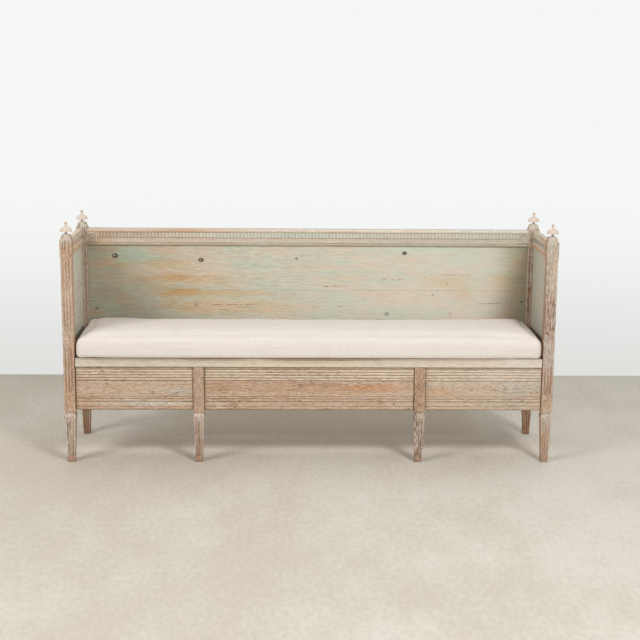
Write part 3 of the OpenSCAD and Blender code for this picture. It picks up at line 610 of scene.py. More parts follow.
def bare_wood(net, spot, pattern, wide, worn, painted_light_to_right):
    """Pine between the paint remains, orange where it is worn, with painted light that makes it paler towards
    the bench's right
    """
    look = bpy.context.scene.bench_finish
    bands, streaks, fibres, grit = pattern
    tone = net.blend((streaks, 0.45), (bands, 0.06), (fibres, 0.25), (grit, 0.30))
    wood = net.ramp(tone, [(0.37, look.grain), (0.47, look.worn), (0.55, look.bare), (0.68, look.sap)])
    deep = net.blend((wide, 0.8), (grit, 0.2))
    wood = net.mix(net.band(deep, 0.64 - 0.2 * worn, 0.78 - 0.2 * worn, 0.0, 0.6), wood, look.worn)
    # Painted light: paler towards the bench's right, where the light falls more strongly
    if painted_light_to_right:
        wood = net.mix(net.band(net.axes(spot)[0], -0.7, 0.9, 0.2 * painted_light_to_right, painted_light_to_right), wood, look.sap)
    return wood


def paint_remains(net, kinds, rosy):
    """Chalky, rosy and green paint, side by side"""
    look = bpy.context.scene.bench_finish
    paint = net.mix(net.band(kinds, 0.62 - 0.25 * rosy, 0.75 - 0.25 * rosy), look.chalk, look.rose)
    return net.mix(net.band(kinds, 0.34, 0.44, 0.85, 0.0), paint, look.lichen)


def nail_holes(net, colour, spot, holes):
    """Dark round holes in the faces that look forwards"""
    look = bpy.context.scene.bench_finish
    forward = net.band(facing(net)[1], -0.6, -0.3, 1.0, 0.0)
    for place, radius in holes:
        hole = net.times(net.band(net.spot(spot, place, radius, radius), 0.7, 1.4, 0.9, 0.0), forward)
        colour = net.mix(hole, colour, look.knot)
    return colour


def worn_foot(net, colour, spot, clouds):
    """Orange pine at the tip of a foot, dark where it meets the floor"""
    look = bpy.context.scene.bench_finish
    up = net.math("MULTIPLY_ADD", clouds, 0.03, net.axes(spot)[2])
    colour = net.stain(net.band(up, 0.02, 0.085, 0.45, 0.0), colour, look.worn)
    return net.mix(net.band(up, 0.016, 0.024, 0.65, 0.0), colour, look.grain)


def scraped_wood(
    name, along, seed, chalk, rosy=0.4, worn=0.5, dark=0.5, nicked=0.0, warm_tip=False, run=85.0, film=0.68,
    dirt_and_shade=0.8, reeded=False, fluted=0.0, flutes_of="front_post_right", flute_top=1.0, inner=0.0, painted_shade_share=0.0,
    painted_light_to_right=0.0, patches=(), holes=(),
):
    """Pine with the remains of several paints, scraped dry; chalk is the amount of paint by height"""
    look = bpy.context.scene.bench_finish
    material, net = new_material(name)
    spot = place_on_object(net)
    point = net.vector("ADD", spot, seed)
    pattern = figure(net, point, along, run)
    _, streaks, fibres, grit = pattern
    clouds = net.noise(net.scaled(point, scales(along, 9.0, 30.0)), 4.0, 0.65)
    wide = net.noise(net.scaled(point, scales(along, 2.6, 11.0)), 3.0, 0.55)
    kinds = net.noise(net.scaled(point, scales(along, 6.0, 17.0), (7.0, 3.0, 1.0)), 4.0, 0.65)
    kept = net.blend((clouds, 0.45), (streaks, 0.2), (fibres, 0.1), (grit, 0.25))
    left = net.math("ADD", kept, net.math("MULTIPLY_ADD", by_height(net, spot, chalk), 0.30, -0.65))
    cover = net.band(left, -0.09, 0.09, 0.0, film)
    wood = bare_wood(net, spot, pattern, wide, worn, painted_light_to_right)
    colour = net.mix(cover, wood, paint_remains(net, kinds, rosy))
    if patches:
        sway = UPRIGHT_SWAY if along == "Z" else LEVEL_SWAY
        colour = rubbed_patches(net, colour, spot, straying(net, point, along), kinds, patches, sway)
    # Cream paint left on sharp edges and moulding tops, partly a painted highlight
    colour = net.mix(net.times(crests(net, 0.004), 0.5), colour, look.crest)
    if reeded:
        colour = reeds(net, colour, spot, kinds, grit)
    if inner:
        colour = inner_faces(net, colour, inner)
    if fluted:
        colour = flute_dirt_and_shade(net, colour, spot, grit, fluted, flutes_of, flute_top)
    nicks = torn_grain(net, point, along, 55.0, 260.0)
    marks = net.times(net.band(nicks, 0.565 - nicked, 0.66 - nicked), net.band(wide, 0.36, 0.60, 1.0, 0.35))
    colour = net.mix(net.times(marks, dark), colour, look.nick)
    colour = gritty(net, 1.0, colour, grit)
    # Grime and painted shade in the hollows
    colour = net.stain(net.times(hollow_dirt_and_shade(net, 0.007, 0.30, 0.97), dirt_and_shade), colour, look.grain)
    # Painted shade: the rear posts are darkened below their domes as if in shade
    if painted_shade_share:
        colour = net.stain(net.band(net.axes(spot)[2], *DOME_FOOT, painted_shade_share, 0.0), colour, look.painted_shade)
    if holes:
        colour = nail_holes(net, colour, spot, holes)
    if warm_tip:
        colour = worn_foot(net, colour, spot, clouds)
    height = net.blend((streaks, 0.3), (fibres, 0.25), (grit, 0.4), (cover, 0.2), (marks, -0.4))
    close_wood(net, colour, height, net.band(cover, 0.0, 1.0, 0.62, 0.75))
    return material


# Patches along the strip on the back: colour, place, half width, half height, strength
CAP_PATCHES = (
    ("bare", (-0.70, 0.88), 0.350, 0.100, 0.65),
    ("olive", (-0.60, 0.88), 0.250, 0.100, 0.30),
    ("amber", (-0.45, 0.88), 0.160, 0.100, 0.35),
    ("stone", (-0.05, 0.88), 0.250, 0.100, 0.60),
    ("milk", (0.55, 0.88), 0.350, 0.100, 0.90),
    ("milk", (0.85, 0.88), 0.150, 0.100, 0.80),
)

# Bare and green stretches of the carved row: colour, place, half width, half height, strength
STRIP_PATCHES = (
    ("bare", (-0.74, 0.84), 0.200, 0.050, 0.80),
    ("olive", (-0.80, 0.84), 0.100, 0.050, 0.30),
    ("stone", (-0.50, 0.84), 0.120, 0.050, 0.40),
    ("mint", (-0.02, 0.84), 0.120, 0.050, 0.40),
    ("lichen", (0.45, 0.84), 0.250, 0.050, 0.25),
    ("lichen", (0.85, 0.84), 0.120, 0.050, 0.30),
)

# Older paint along the seat board's front, with the olive patch over its left part as painted shade and the
# pale patches at its right as painted light: colour, place, half width, half height, strength
SEAT_PATCHES = (
    ("painted_shade", (-0.75, 0.40), 0.260, 0.050, 0.40),
    ("milk", (-0.895, 0.40), 0.016, 0.050, 0.80),
    ("stone", (-0.30, 0.40), 0.160, 0.012, 0.40),
    ("chalk", (0.30, 0.40), 0.160, 0.010, 0.45),
    ("pale", (0.72, 0.40), 0.300, 0.050, 0.70),
    ("milk", (0.86, 0.40), 0.120, 0.050, 0.60),
)

# Ends of the back's top rail darkened as painted shade, and its worn stretches: colour, place, half width,
# half height, strength
RAIL_PATCHES = (
    ("nick", (-0.92, 0.83), 0.045, 0.080, 0.40),
    ("bare", (-0.85, 0.82), 0.060, 0.030, 0.50),
    ("olive", (-0.88, 0.83), 0.070, 0.040, 0.60),
    ("nick", (0.94, 0.83), 0.030, 0.080, 0.50),
    ("bare", (-0.55, 0.82), 0.160, 0.008, 0.50),
    ("lichen", (0.55, 0.82), 0.350, 0.030, 0.55),
)

# Height over the floor below which painted shadow from the cushion darkens the side boards
CUSHION_LINE = 0.467

# Knots of the back boards: place along X, height, radius, how light the middle is, how dark the ring is
KNOTS = (
    ((-0.7949, 0.7547), 0.0115, 0.8, 0.95),
    ((-0.4418, 0.7382), 0.0100, 0.6, 0.95),
    ((-0.0497, 0.7475), 0.0055, 0.0, 0.55),
    ((0.3962, 0.7709), 0.0095, 0.3, 0.95),
    ((-0.4640, 0.5528), 0.0060, 1.0, 0.60),
    ((-0.8740, 0.5348), 0.0065, 0.1, 0.60),
    ((0.3276, 0.5157), 0.0080, 0.2, 0.50),
    ((0.5159, 0.5951), 0.0045, 0.0, 0.45),
    ((0.5751, 0.6424), 0.0040, 0.0, 0.35),
    ((0.5904, 0.5188), 0.0045, 0.2, 0.40),
    ((0.2288, 0.5779), 0.0045, 0.2, 0.30),
    ((0.8877, 0.5682), 0.0050, 0.0, 0.80),
    ((-0.8898, 0.5650), 0.0050, 0.0, 0.35),
)

# How far the grain parts round a knot, in its radii along and across the board, and how strongly
KNOT_REACH = (3.2, 2.4)
KNOT_BEND = 0.55

# Cracks of the back boards: from, to, height, half width
CRACKS = (
    (-0.407, -0.212, 0.5530, 0.0011),
    (0.056, 0.164, 0.6308, 0.0011),
    (0.296, 0.400, 0.6625, 0.0009),
    (0.491, 0.695, 0.6812, 0.0007),
    (0.698, 0.882, 0.5610, 0.0006),
    (-0.130, -0.085, 0.4985, 0.0016),
    (0.120, 0.148, 0.5463, 0.0010),
)

# Patches of other paints on the back boards: colour, place, half width, half height, strength
BACK_PATCHES = (
    ("mint", (-0.69, 0.747), 0.060, 0.030, 0.65),
    ("mint", (-0.73, 0.782), 0.040, 0.016, 0.65),
    ("mint", (-0.69, 0.634), 0.060, 0.014, 0.40),
    ("mint", (0.09, 0.688), 0.080, 0.012, 0.60),
    ("mint", (0.37, 0.689), 0.022, 0.014, 0.80),
    ("mint", (0.29, 0.654), 0.060, 0.012, 0.45),
    ("mint", (0.54, 0.518), 0.045, 0.016, 0.65),
    ("mint", (0.35, 0.531), 0.035, 0.012, 0.45),
    ("peach", (-0.843, 0.732), 0.040, 0.020, 0.95),
    ("peach", (-0.60, 0.777), 0.050, 0.017, 0.70),
    ("peach", (-0.43, 0.778), 0.022, 0.012, 0.50),
    ("peach", (-0.16, 0.531), 0.045, 0.012, 0.75),
    ("peach", (-0.03, 0.544), 0.055, 0.014, 0.60),
    ("peach", (-0.02, 0.719), 0.110, 0.018, 0.40),
    ("peach", (0.42, 0.745), 0.032, 0.011, 0.60),
    ("peach", (0.26, 0.601), 0.070, 0.014, 0.50),
    ("ochre", (-0.59, 0.724), 0.100, 0.020, 0.60),
    ("ochre", (-0.55, 0.668), 0.060, 0.016, 0.95),
    ("ochre", (-0.66, 0.664), 0.065, 0.013, 0.40),
    ("ochre", (-0.58, 0.605), 0.060, 0.014, 0.95),
    ("ochre", (-0.49, 0.605), 0.065, 0.015, 0.90),
    ("ochre", (-0.33, 0.600), 0.200, 0.016, 0.60),
    ("ochre", (-0.42, 0.660), 0.180, 0.018, 0.45),
    ("ochre", (-0.30, 0.545), 0.260, 0.030, 0.50),
    ("stone", (0.10, 0.560), 0.300, 0.040, 0.35),
    ("ochre", (-0.60, 0.640), 0.120, 0.030, 0.40),
    ("ochre", (-0.50, 0.542), 0.050, 0.015, 0.90),
    ("ochre", (-0.37, 0.641), 0.035, 0.010, 0.50),
    ("ochre", (-0.76, 0.574), 0.030, 0.024, 0.55),
    ("ochre", (-0.58, 0.560), 0.030, 0.020, 0.45),
    ("ochre", (-0.76, 0.713), 0.060, 0.010, 0.45),
    ("peach", (-0.880, 0.520), 0.040, 0.010, 0.90),
    ("peach", (0.13, 0.665), 0.080, 0.010, 0.40),
    ("rose", (-0.84, 0.785), 0.060, 0.016, 0.70),
    ("rose", (-0.82, 0.600), 0.050, 0.030, 0.55),
    ("rose", (-0.70, 0.540), 0.090, 0.020, 0.35),
    ("mint", (0.72, 0.522), 0.060, 0.012, 0.55),
    ("mint", (0.45, 0.790), 0.120, 0.014, 0.45),
    ("mint", (0.75, 0.700), 0.060, 0.020, 0.30),
    ("ochre", (0.59, 0.652), 0.100, 0.028, 0.60),
    ("ochre", (0.64, 0.603), 0.024, 0.034, 0.50),
    ("ochre", (0.81, 0.663), 0.065, 0.024, 0.45),
)


def grain_round_knots(net, spot):
    """The point at which the grain is read, so that its lines part round each knot"""
    point = spot
    for place, radius, _, _ in KNOTS:
        off = net.spot(spot, place, KNOT_REACH[0] * radius, KNOT_REACH[1] * radius)
        near = net.math("POWER", math.e, net.times(net.times(off, off), -1.0))
        away = net.vector("SUBTRACT", spot, (place[0], 0.0, place[1]))
        pull = net.vector("MULTIPLY", away, (0.0, 0.0, -KNOT_BEND))
        point = net.vector("MULTIPLY_ADD", pull, net.add("ShaderNodeCombineXYZ", {"Z": near}), point)
    return point


def knots_and_cracks(net, colour, spot, small):
    """Dark rings, light hearts and split lines on the back boards"""
    look = bpy.context.scene.bench_finish
    x, _, z = net.axes(spot)
    shake = net.math("SUBTRACT", small, 0.5)
    height = net.math("MULTIPLY_ADD", shake, 0.006, z)
    crackle = net.noise(net.scaled(spot, (42.0, 1.0, 20.0)), 4.0, 0.7)
    broken = net.band(crackle, 0.44, 0.56, 0.15, 1.0)
    for start, end, level, half in CRACKS:
        middle, reach = (start + end) / 2, (end - start) / 2
        inside = net.stripe(x, middle, reach * 0.75, reach * 0.25)
        halo = net.times(net.stripe(height, level, half * 2.0, half * 4.0), inside)
        colour = net.mix(net.times(halo, 0.3), colour, look.peach)
        mask = net.times(net.stripe(height, level, half * 0.7, half * 1.1), inside)
        colour = net.mix(net.times(mask, broken), colour, look.nick)
    for place, radius, light, ring in KNOTS:
        off = net.math("MULTIPLY_ADD", shake, 0.9, net.spot(spot, place, radius, radius * 0.8))
        heart = (place[0] - 0.15 * radius, place[1] + 0.1 * radius)
        core = net.math("MULTIPLY_ADD", shake, 0.8, net.spot(spot, heart, radius * 0.36, radius * 0.28))
        colour = net.mix(net.band(off, 0.75, 1.45, ring, 0.0), colour, look.knot)
        colour = net.mix(net.band(core, 0.5, 1.2, light, 0.0), colour, look.pale)
    return colour


def back_paints(net, colour, spot, point, clouds, small, tints):
    """Pinkish, bluish and ochre patches on the back boards, and painted shadow over both of their ends"""
    look = bpy.context.scene.bench_finish
    x = net.axes(spot)[0]
    colour = net.mix(net.band(tints, 0.53, 0.66, 0.0, 0.36), colour, look.peach)
    colour = net.mix(net.band(tints, 0.47, 0.34, 0.0, 0.26), colour, look.mint)
    colour = rubbed_patches(net, colour, spot, straying(net, point, "X"), small, BACK_PATCHES)
    # Painted shadow: olive shade over the back's left end, where the left side shades it, and over its right
    # end beside the post
    side = net.math("MULTIPLY_ADD", clouds, 0.25, x)
    colour = net.stain(net.band(side, -0.85, -0.05, 0.75, 0.0), colour, look.painted_shade)
    return net.stain(net.band(x, 0.74, 0.90, 0.0, 1.0), colour, look.painted_shade)


def painted_cushion_shadow(net, colour, spot, small):
    """The inner faces of the side boards, darkened with painted shadow where the cushion lies against them"""
    look = bpy.context.scene.bench_finish
    x, _, up = net.axes(spot)
    shaken = net.math("MULTIPLY_ADD", small, 0.008, up)
    middle = abs(sum(corner.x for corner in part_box("side_board_lower_left")) / 2)
    inner = net.math("LESS_THAN", net.size(x), middle)
    stain = net.band(shaken, CUSHION_LINE + 0.010, CUSHION_LINE, 0.0, 0.7)
    return net.mix(net.times(stain, inner), colour, look.knot)


def painted_boards(
    name, along, seed, seam, back=False, painted_shade_share=0.0, cool=0.0, light=0.0, joint_share=0.22, joint_half=0.0003
):
    """Grey-green and beige paints, rubbed through in long patches, over pine"""
    look = bpy.context.scene.bench_finish
    material, net = new_material(name)
    spot = place_on_object(net)
    x, _, up = net.axes(spot)
    point = net.vector("ADD", grain_round_knots(net, spot) if back else spot, seed)
    bands, streaks, fibres, grit = figure(net, point, along, 22.0)
    clouds = net.noise(net.scaled(point, scales(along, 2.6, 12.0)), 4.0, 0.6)
    small = net.noise(net.scaled(point, scales(along, 12.0, 60.0)), 5.0, 0.7)
    tints = net.noise(net.scaled(point, scales(along, 3.0, 14.0), (4.0, 9.0, 2.0)), 4.0, 0.6)
    mixed = net.blend((clouds, 0.65), (small, 0.35), (grit, 0.10))
    if back:
        mixed = net.math("ADD", mixed, net.band(x, -0.9, 0.1, -0.07, 0.0))
    colour = net.mix(net.band(mixed, 0.47, 0.62), look.green, look.stone)
    colour = net.mix(cool, colour, look.lilac)
    # Painted light: pale cream laid over the whole board makes a side look lit
    colour = net.mix(light, colour, look.milk)
    if back:
        colour = back_paints(net, colour, spot, point, clouds, small, tints)
    else:
        colour = net.mix(net.band(tints, 0.52, 0.62, 0.0, 0.40), colour, look.lilac)
        colour = net.mix(net.band(tints, 0.47, 0.37, 0.0, 0.25), colour, look.mint)
    lines = net.blend((streaks, 0.45), (fibres, 0.3), (grit, 0.25))
    bare = net.times(net.band(lines, 0.52, 0.36), net.band(tints, 0.35, 0.65, 0.15, 0.55))
    colour = net.mix(bare, colour, look.bare)
    colour = net.mix(net.band(bands, 0.80, 1.0, 0.0, 0.05), colour, look.grain)
    marks = net.band(torn_grain(net, point, along, 22.0, 330.0), 0.585, 0.69)
    marks = net.times(marks, net.band(clouds, 0.42, 0.60, 0.25, 1.0))
    colour = net.mix(net.times(marks, 0.60), colour, look.grain)
    colour = gritty(net, net.band(x, -0.3, 0.3, 0.68, 0.40) if back else 0.40, colour, grit)
    # Painted shade over the whole board, for a side that lies in shade
    colour = net.stain(painted_shade_share, colour, look.painted_shade)
    if back:
        paler = net.times(net.band(x, 0.0, 0.6, 0.0, 0.25), net.band(x, 0.72, 0.86, 1.0, 0.0))
        colour = net.mix(paler, colour, look.milk)
        colour = knots_and_cracks(net, colour, spot, small)
    else:
        colour = painted_cushion_shadow(net, colour, spot, small)
    joint = net.stripe(net.math("MULTIPLY_ADD", small, 0.0012, up), seam + 0.0006, joint_half, 0.0010)
    joint = net.times(joint, net.band(small, 0.40, 0.60, 0.10, 0.8))
    colour = net.mix(net.times(joint, joint_share), colour, look.grain)
    close_wood(net, colour, net.blend((lines, 0.7), (marks, -0.4), (joint, -1.2)), 0.68)
    return material


def plain_paint(
    name, along, seed, paint, under, wear=0.4, nicked=0.4, green=0.25, dirt_and_shade=0.4, rough=0.6, crest=0.0,
    lines=(), patches=(),
):
    """One thin coat over pine, worn along the grain; lines are levels painted in another colour"""
    look = bpy.context.scene.bench_finish
    material, net = new_material(name)
    spot = place_on_object(net)
    point = net.vector("ADD", spot, seed)
    _, streaks, fibres, grit = figure(net, point, along, 40.0)
    clouds = net.noise(net.scaled(point, scales(along, 6.0, 26.0)), 4.0, 0.65)
    tints = net.noise(net.scaled(point, scales(along, 2.0, 10.0), (4.0, 9.0, 2.0)), 2.0, 0.5)
    colour = net.mix(net.band(tints, 0.50, 0.66, 0.0, green), paint, look.lichen)
    lean = net.blend((streaks, 0.45), (clouds, 0.40), (fibres, 0.1), (grit, 0.2))
    worn = net.band(lean, 0.44 + 0.25 * wear, 0.36 + 0.25 * wear, 0.0, 0.75)
    colour = net.mix(worn, colour, under)
    up = net.math("MULTIPLY_ADD", net.math("SUBTRACT", clouds, 0.5), 0.004, net.axes(spot)[2])
    for kind, level, half, share in lines:
        here = net.times(net.stripe(up, level, half, 0.0012), net.band(clouds, 0.30, 0.55, 0.4, 1.0))
        colour = net.mix(net.times(here, share), colour, getattr(look, kind))
    if patches:
        colour = rubbed_patches(net, colour, spot, straying(net, point, along), clouds, patches)
    marks = net.band(torn_grain(net, point, along, 30.0, 300.0), 0.585, 0.69)
    colour = net.mix(net.times(marks, nicked), colour, look.grain)
    colour = gritty(net, rough, colour, grit)
    # Grime and painted shade in the hollows
    colour = net.stain(net.times(hollow_dirt_and_shade(net, 0.006), dirt_and_shade), colour, look.grain)
    # Pale dots on the carving's crests, partly a painted highlight
    if crest:
        colour = net.mix(net.times(crests(net, 0.003), crest), colour, look.pale)
    height = net.blend((streaks, 0.4), (fibres, 0.3), (grit, 0.3), (worn, -0.4), (marks, -0.3))
    close_wood(net, colour, height, 0.64, 0.0009)
    return material


def plain_pine(name, along, seed, light, dark):
    """Planed pine without paint"""
    material, net = new_material(name)
    point = place_on_object(net, seed)
    bands, streaks, fibres, _ = figure(net, point, along)
    tone = net.blend((streaks, 0.6), (bands, 0.3), (fibres, 0.15))
    colour = net.ramp(tone, [(0.35, dark), (0.6, light)])
    colour = net.stain(net.times(hollow_dirt_and_shade(net, 0.006), 0.5), colour, dark)
    close_wood(net, colour, net.blend((streaks, 0.5), (fibres, 0.4)), 0.7, 0.0006)
    return material


# The cushion


# Corners of the solid's mesh that lie closer than this are one
WELD_GAP = 0.00005

# Air and cloth of the cover: pressure, stiffness in the weave and in folds, and the solver's quality
AIR_PRESSURE = 4.0
WEAVE_STIFFNESS = 20.0
FOLD_STIFFNESS = 1.5
CLOTH_QUALITY = 5

# Steps until the air-filled cover rests
AIR_STEPS = 20

# How far the lifted corner reaches along the cushion's end and along its back
CORNER_ALONG_END = 0.045
CORNER_ALONG_BACK = 0.12

# Soft creases and finer ripples in the cover: depth, and how closely they follow each other along X, Y and Z
CREASE_DEEP = 0.0016
CREASE_SCALE = (7.0, 11.0, 9.0)
RIPPLE_DEEP = 0.0007
RIPPLE_SCALE = (19.0, 23.0, 31.0)

# Shift between the two, so that ripples don't line up with creases
RIPPLE_SHIFT = 4.0

# How sharply the cover turns from its sides to its pressed underside
PRESSED_TURN = 1.7

# How deep the bottom seam is drawn in, and how high over and under it
PINCH_DEEP = 0.0016
PINCH_HIGH = 0.0028

# Air between the cover and the seat board, and between the thread and the cover
SEAT_GAP = 0.0003
THREAD_GAP = 0.0001

# The seam's line: radius of its corners, points along a long side, a short side and a corner
SEAM_CORNER = 0.03
SEAM_STEPS = (150, 30)
SEAM_TURN_STEPS = 8

# The dark line of the seam in the linen: half its width and its soft edge
SEAM_LINE = (0.0004, 0.0012)


def linen(name, seam):
    """Slubby linen: two ways of thread, thick and thin, with a fine weave"""
    look = bpy.context.scene.bench_cushion
    material, net = new_material(name)
    x, y, z = net.axes(net.add("ShaderNodeTexCoord", {}, "Object"))
    sideways, _, upwards = facing(net)
    end = net.band(net.size(sideways), 0.6, 0.8)
    flat = net.band(net.size(upwards), 0.5, 0.8)
    u = net.math("MULTIPLY_ADD", end, net.math("SUBTRACT", y, x), x)
    v = net.math("MULTIPLY_ADD", flat, net.math("SUBTRACT", y, z), z)
    cloth = net.add("ShaderNodeCombineXYZ", {"X": u, "Y": v})
    turn = 2 * math.pi / look.weave
    weave = net.times(net.math("SINE", net.times(u, turn)), net.math("SINE", net.times(v, turn)))
    along = net.noise(net.scaled(cloth, (9.0, 420.0, 1.0)), 3.0, 0.65)
    across = net.noise(net.scaled(cloth, (420.0, 11.0, 1.0), (3.0, 1.0, 0.0)), 3.0, 0.65)
    broad = net.noise(net.scaled(cloth, (2.0, 30.0, 1.0), (1.0, 7.0, 0.0)), 3.0, 0.6)
    warp = net.noise(net.scaled(cloth, (150.0, 6.0, 1.0), (8.0, 2.0, 0.0)), 4.0, 0.7)
    weft = net.noise(net.scaled(cloth, (5.0, 150.0, 1.0), (2.0, 8.0, 0.0)), 4.0, 0.7)
    slubs = net.total(
        net.band(along, 0.52, 0.72, 0.0, 0.6), net.band(across, 0.54, 0.74, 0.0, 0.5),
        net.band(warp, 0.48, 0.70, 0.0, 0.32), net.band(weft, 0.48, 0.70, 0.0, 0.45),
        net.band(broad, 0.48, 0.70, 0.0, 0.25), net.times(weave, 0.05),
    )
    colour = net.mix(slubs, look.linen, look.slub)
    stitched = net.stripe(z, seam, *SEAM_LINE)
    colour = net.stain(net.times(stitched, 0.35), colour, look.slub)
    height = net.blend((weave, 0.35), (along, 0.8), (across, 0.6), (stitched, -2.0))
    bump = net.add("ShaderNodeBump", {"Strength": 0.45, "Distance": 0.0007, "Height": height})
    surface = {
        "Base Color": colour, "Roughness": 0.86, "Specular IOR Level": 0.15, "Normal": bump,
        "Sheen Weight": 0.12, "Sheen Roughness": 0.5,
    }
    net.close(net.add("ShaderNodeBsdfPrincipled", surface))
    return material


def set_modifier(modifier, tree, values):
    """Puts values into a node modifier's named inputs"""
    modifier.node_group = tree
    for item in tree.interface.items_tree:
        if item.item_type == "SOCKET" and item.in_out == "INPUT" and item.name in values:
            modifier[item.identifier] = values[item.name]


def baked(context, source, name):
    """The object's evaluated mesh as a plain new object"""
    context.view_layer.update()
    mesh = bpy.data.meshes.new_from_object(source.evaluated_get(context.evaluated_depsgraph_get()))
    mesh.name = name
    result = bpy.data.objects.new(name, mesh)
    context.scene.collection.objects.link(result)
    return result


def drop(target):
    """Removes an object that was only a step on the way"""
    bpy.data.objects.remove(target)


def starting_form(context, look):
    """The cushion's solid, a little smaller, as one even mesh"""
    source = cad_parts["seat_cushion"].copy()
    source.data = source.data.copy()
    source.parent = None
    context.scene.collection.objects.link(source)
    low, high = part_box("seat_cushion")
    middle = (low + high) / 2
    half = (high - low) / 2
    share = Vector([(h - look.shrink) / h for h in half])
    shell = bmesh.new()
    shell.from_mesh(source.data)
    bmesh.ops.remove_doubles(shell, verts=shell.verts, dist=WELD_GAP)
    for vertex in shell.verts:
        away = vertex.co - middle
        vertex.co = middle + Vector([a * s for a, s in zip(away, share)])
    shell.to_mesh(source.data)
    shell.free()
    remesh = source.modifiers.new("even_mesh", "REMESH")
    remesh.mode = "VOXEL"
    remesh.voxel_size = look.voxel
    form = baked(context, source, "linen_cushion")
    drop(source)
    return form


def filled_with_air(context, form, look):
    """Swells the form as cloth; no point moves inwards or too far"""
    rest = [vertex.co.copy() for vertex in form.data.vertices]
    outward = [vertex.normal.copy() for vertex in form.data.vertices]
    cloth = form.modifiers.new("cover", "CLOTH")
    settings = cloth.settings
    settings.use_pressure = True
    settings.uniform_pressure_force = AIR_PRESSURE
    settings.effector_weights.gravity = 0.0
    settings.tension_stiffness = WEAVE_STIFFNESS
    settings.compression_stiffness = WEAVE_STIFFNESS
    settings.bending_stiffness = FOLD_STIFFNESS
    settings.quality = CLOTH_QUALITY
    scene = context.scene
    scene.frame_start, scene.frame_end = 1, AIR_STEPS
    for step in range(1, AIR_STEPS + 1):
        scene.frame_set(step)
    context.view_layer.update()
    swollen = form.evaluated_get(context.evaluated_depsgraph_get()).data
    moved = [vertex.co.copy() for vertex in swollen.vertices]
    form.modifiers.remove(cloth)
    scene.frame_set(1)
    for vertex, start, end, out in zip(form.data.vertices, rest, moved, outward):
        step = end - start
        step -= out * min(0.0, step.dot(out))
        length = step.length
        if length > look.swell:
            step *= look.swell / length
        vertex.co = start + step


def cover_box(look):
    """The solid's own box, a little longer, for the cover fills the seat from post to post"""
    low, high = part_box("seat_cushion")
    spread = Vector((look.spread, 0.0, 0.0))
    return low - spread, high + spread


def fit_to_box(mesh, look):
    """Stretches the filled cushion in length and depth to the cover's box"""
    low, high = cover_box(look)
    for axis in (0, 1):
        first = min(vertex.co[axis] for vertex in mesh.vertices)
        last = max(vertex.co[axis] for vertex in mesh.vertices)
        share = (high[axis] - low[axis]) / (last - first)
        for vertex in mesh.vertices:
            vertex.co[axis] = low[axis] + (vertex.co[axis] - first) * share


def pressed_out(value, axis, share, low, high, look):
    """Moves a point that is near a side part of the way to that side"""
    for edge, inwards in ((low[axis], 1.0), (high[axis], -1.0)):
        gap = (value - edge) * inwards
        if 0.0 < gap < look.sag:
            return value - inwards * share * gap * (1.0 - gap / look.sag)
    return value


def near_corner(from_end, from_back):
    """One at a rear corner of the cushion, fading to nought along its end and its back"""
    return max(0.0, 1.0 - from_end / CORNER_ALONG_END) * max(0.0, 1.0 - from_back / CORNER_ALONG_BACK)


def tucked_under(x, height, low, high, look):
    """Rounds the lower edge of both ends off, as a quarter of a circle"""
    if height >= look.round_under:
        return x
    tuck = look.round_under - math.sqrt(look.round_under ** 2 - (look.round_under - height) ** 2)
    for end, inwards in ((low, 1.0), (high, -1.0)):
        gap = (x - end) * inwards
        if gap < look.sag:
            return end + inwards * (tuck + gap * (1.0 - tuck / look.sag))
    return x


def wrinkle(place, scale, shift=0.0):
    """Unevenness of the cover at a place, from -1 to 1"""
    x, y, z = place
    return noise.noise(Vector((x * scale[0], y * scale[1], z * scale[2] + shift)))


def settle(mesh, look):
    """Rests the cushion on the seat, holds it off its neighbours and presses in the seam"""
    low, high = cover_box(look)
    seat = low.z + SEAT_GAP
    seam = low.z + look.seam_up
    middle_y = (low.y + high.y) / 2
    for vertex in mesh.vertices:
        x, y, z = vertex.co
        crease = wrinkle(vertex.co, CREASE_SCALE)
        ripple = wrinkle(vertex.co, RIPPLE_SCALE, RIPPLE_SHIFT)
        lift = look.plump + CREASE_DEEP * crease + RIPPLE_DEEP * ripple
        top = min(1.0, max(0.0, (z - low.z) / (high.z - low.z)))
        z += (lift + look.corner_lift * near_corner(x - low.x, high.y - y)) * top
        over = (z - low.z) / look.sag
        if 0.0 < over < 1.0:
            z = low.z + look.sag * over ** PRESSED_TURN
        square = look.squared * max(0.0, 1.0 - (z - low.z) / look.sag)
        front = max(0.0, 1.0 - (y - low.y) / look.sag) * min(1.0, 2.0 - 2.0 * top)
        x = pressed_out(x, 0, max(square, look.squared * front), low, high, look)
        y = pressed_out(y, 1, square, low, high, look)
        hem = seat + look.edge_lift * max(0.0, 1.0 - (y - low.y) / look.sag)
        pinch = PINCH_DEEP * math.exp(-((z - seam) / PINCH_HIGH) ** 2)
        y += pinch if y < middle_y else -pinch
        x = min(high.x, max(low.x, x))
        x = tucked_under(x, max(0.0, z - seat), low.x, high.x, look)
        y = min(high.y, max(low.y, y))
        vertex.co = (x, y, max(hem, z))
    mesh.update()


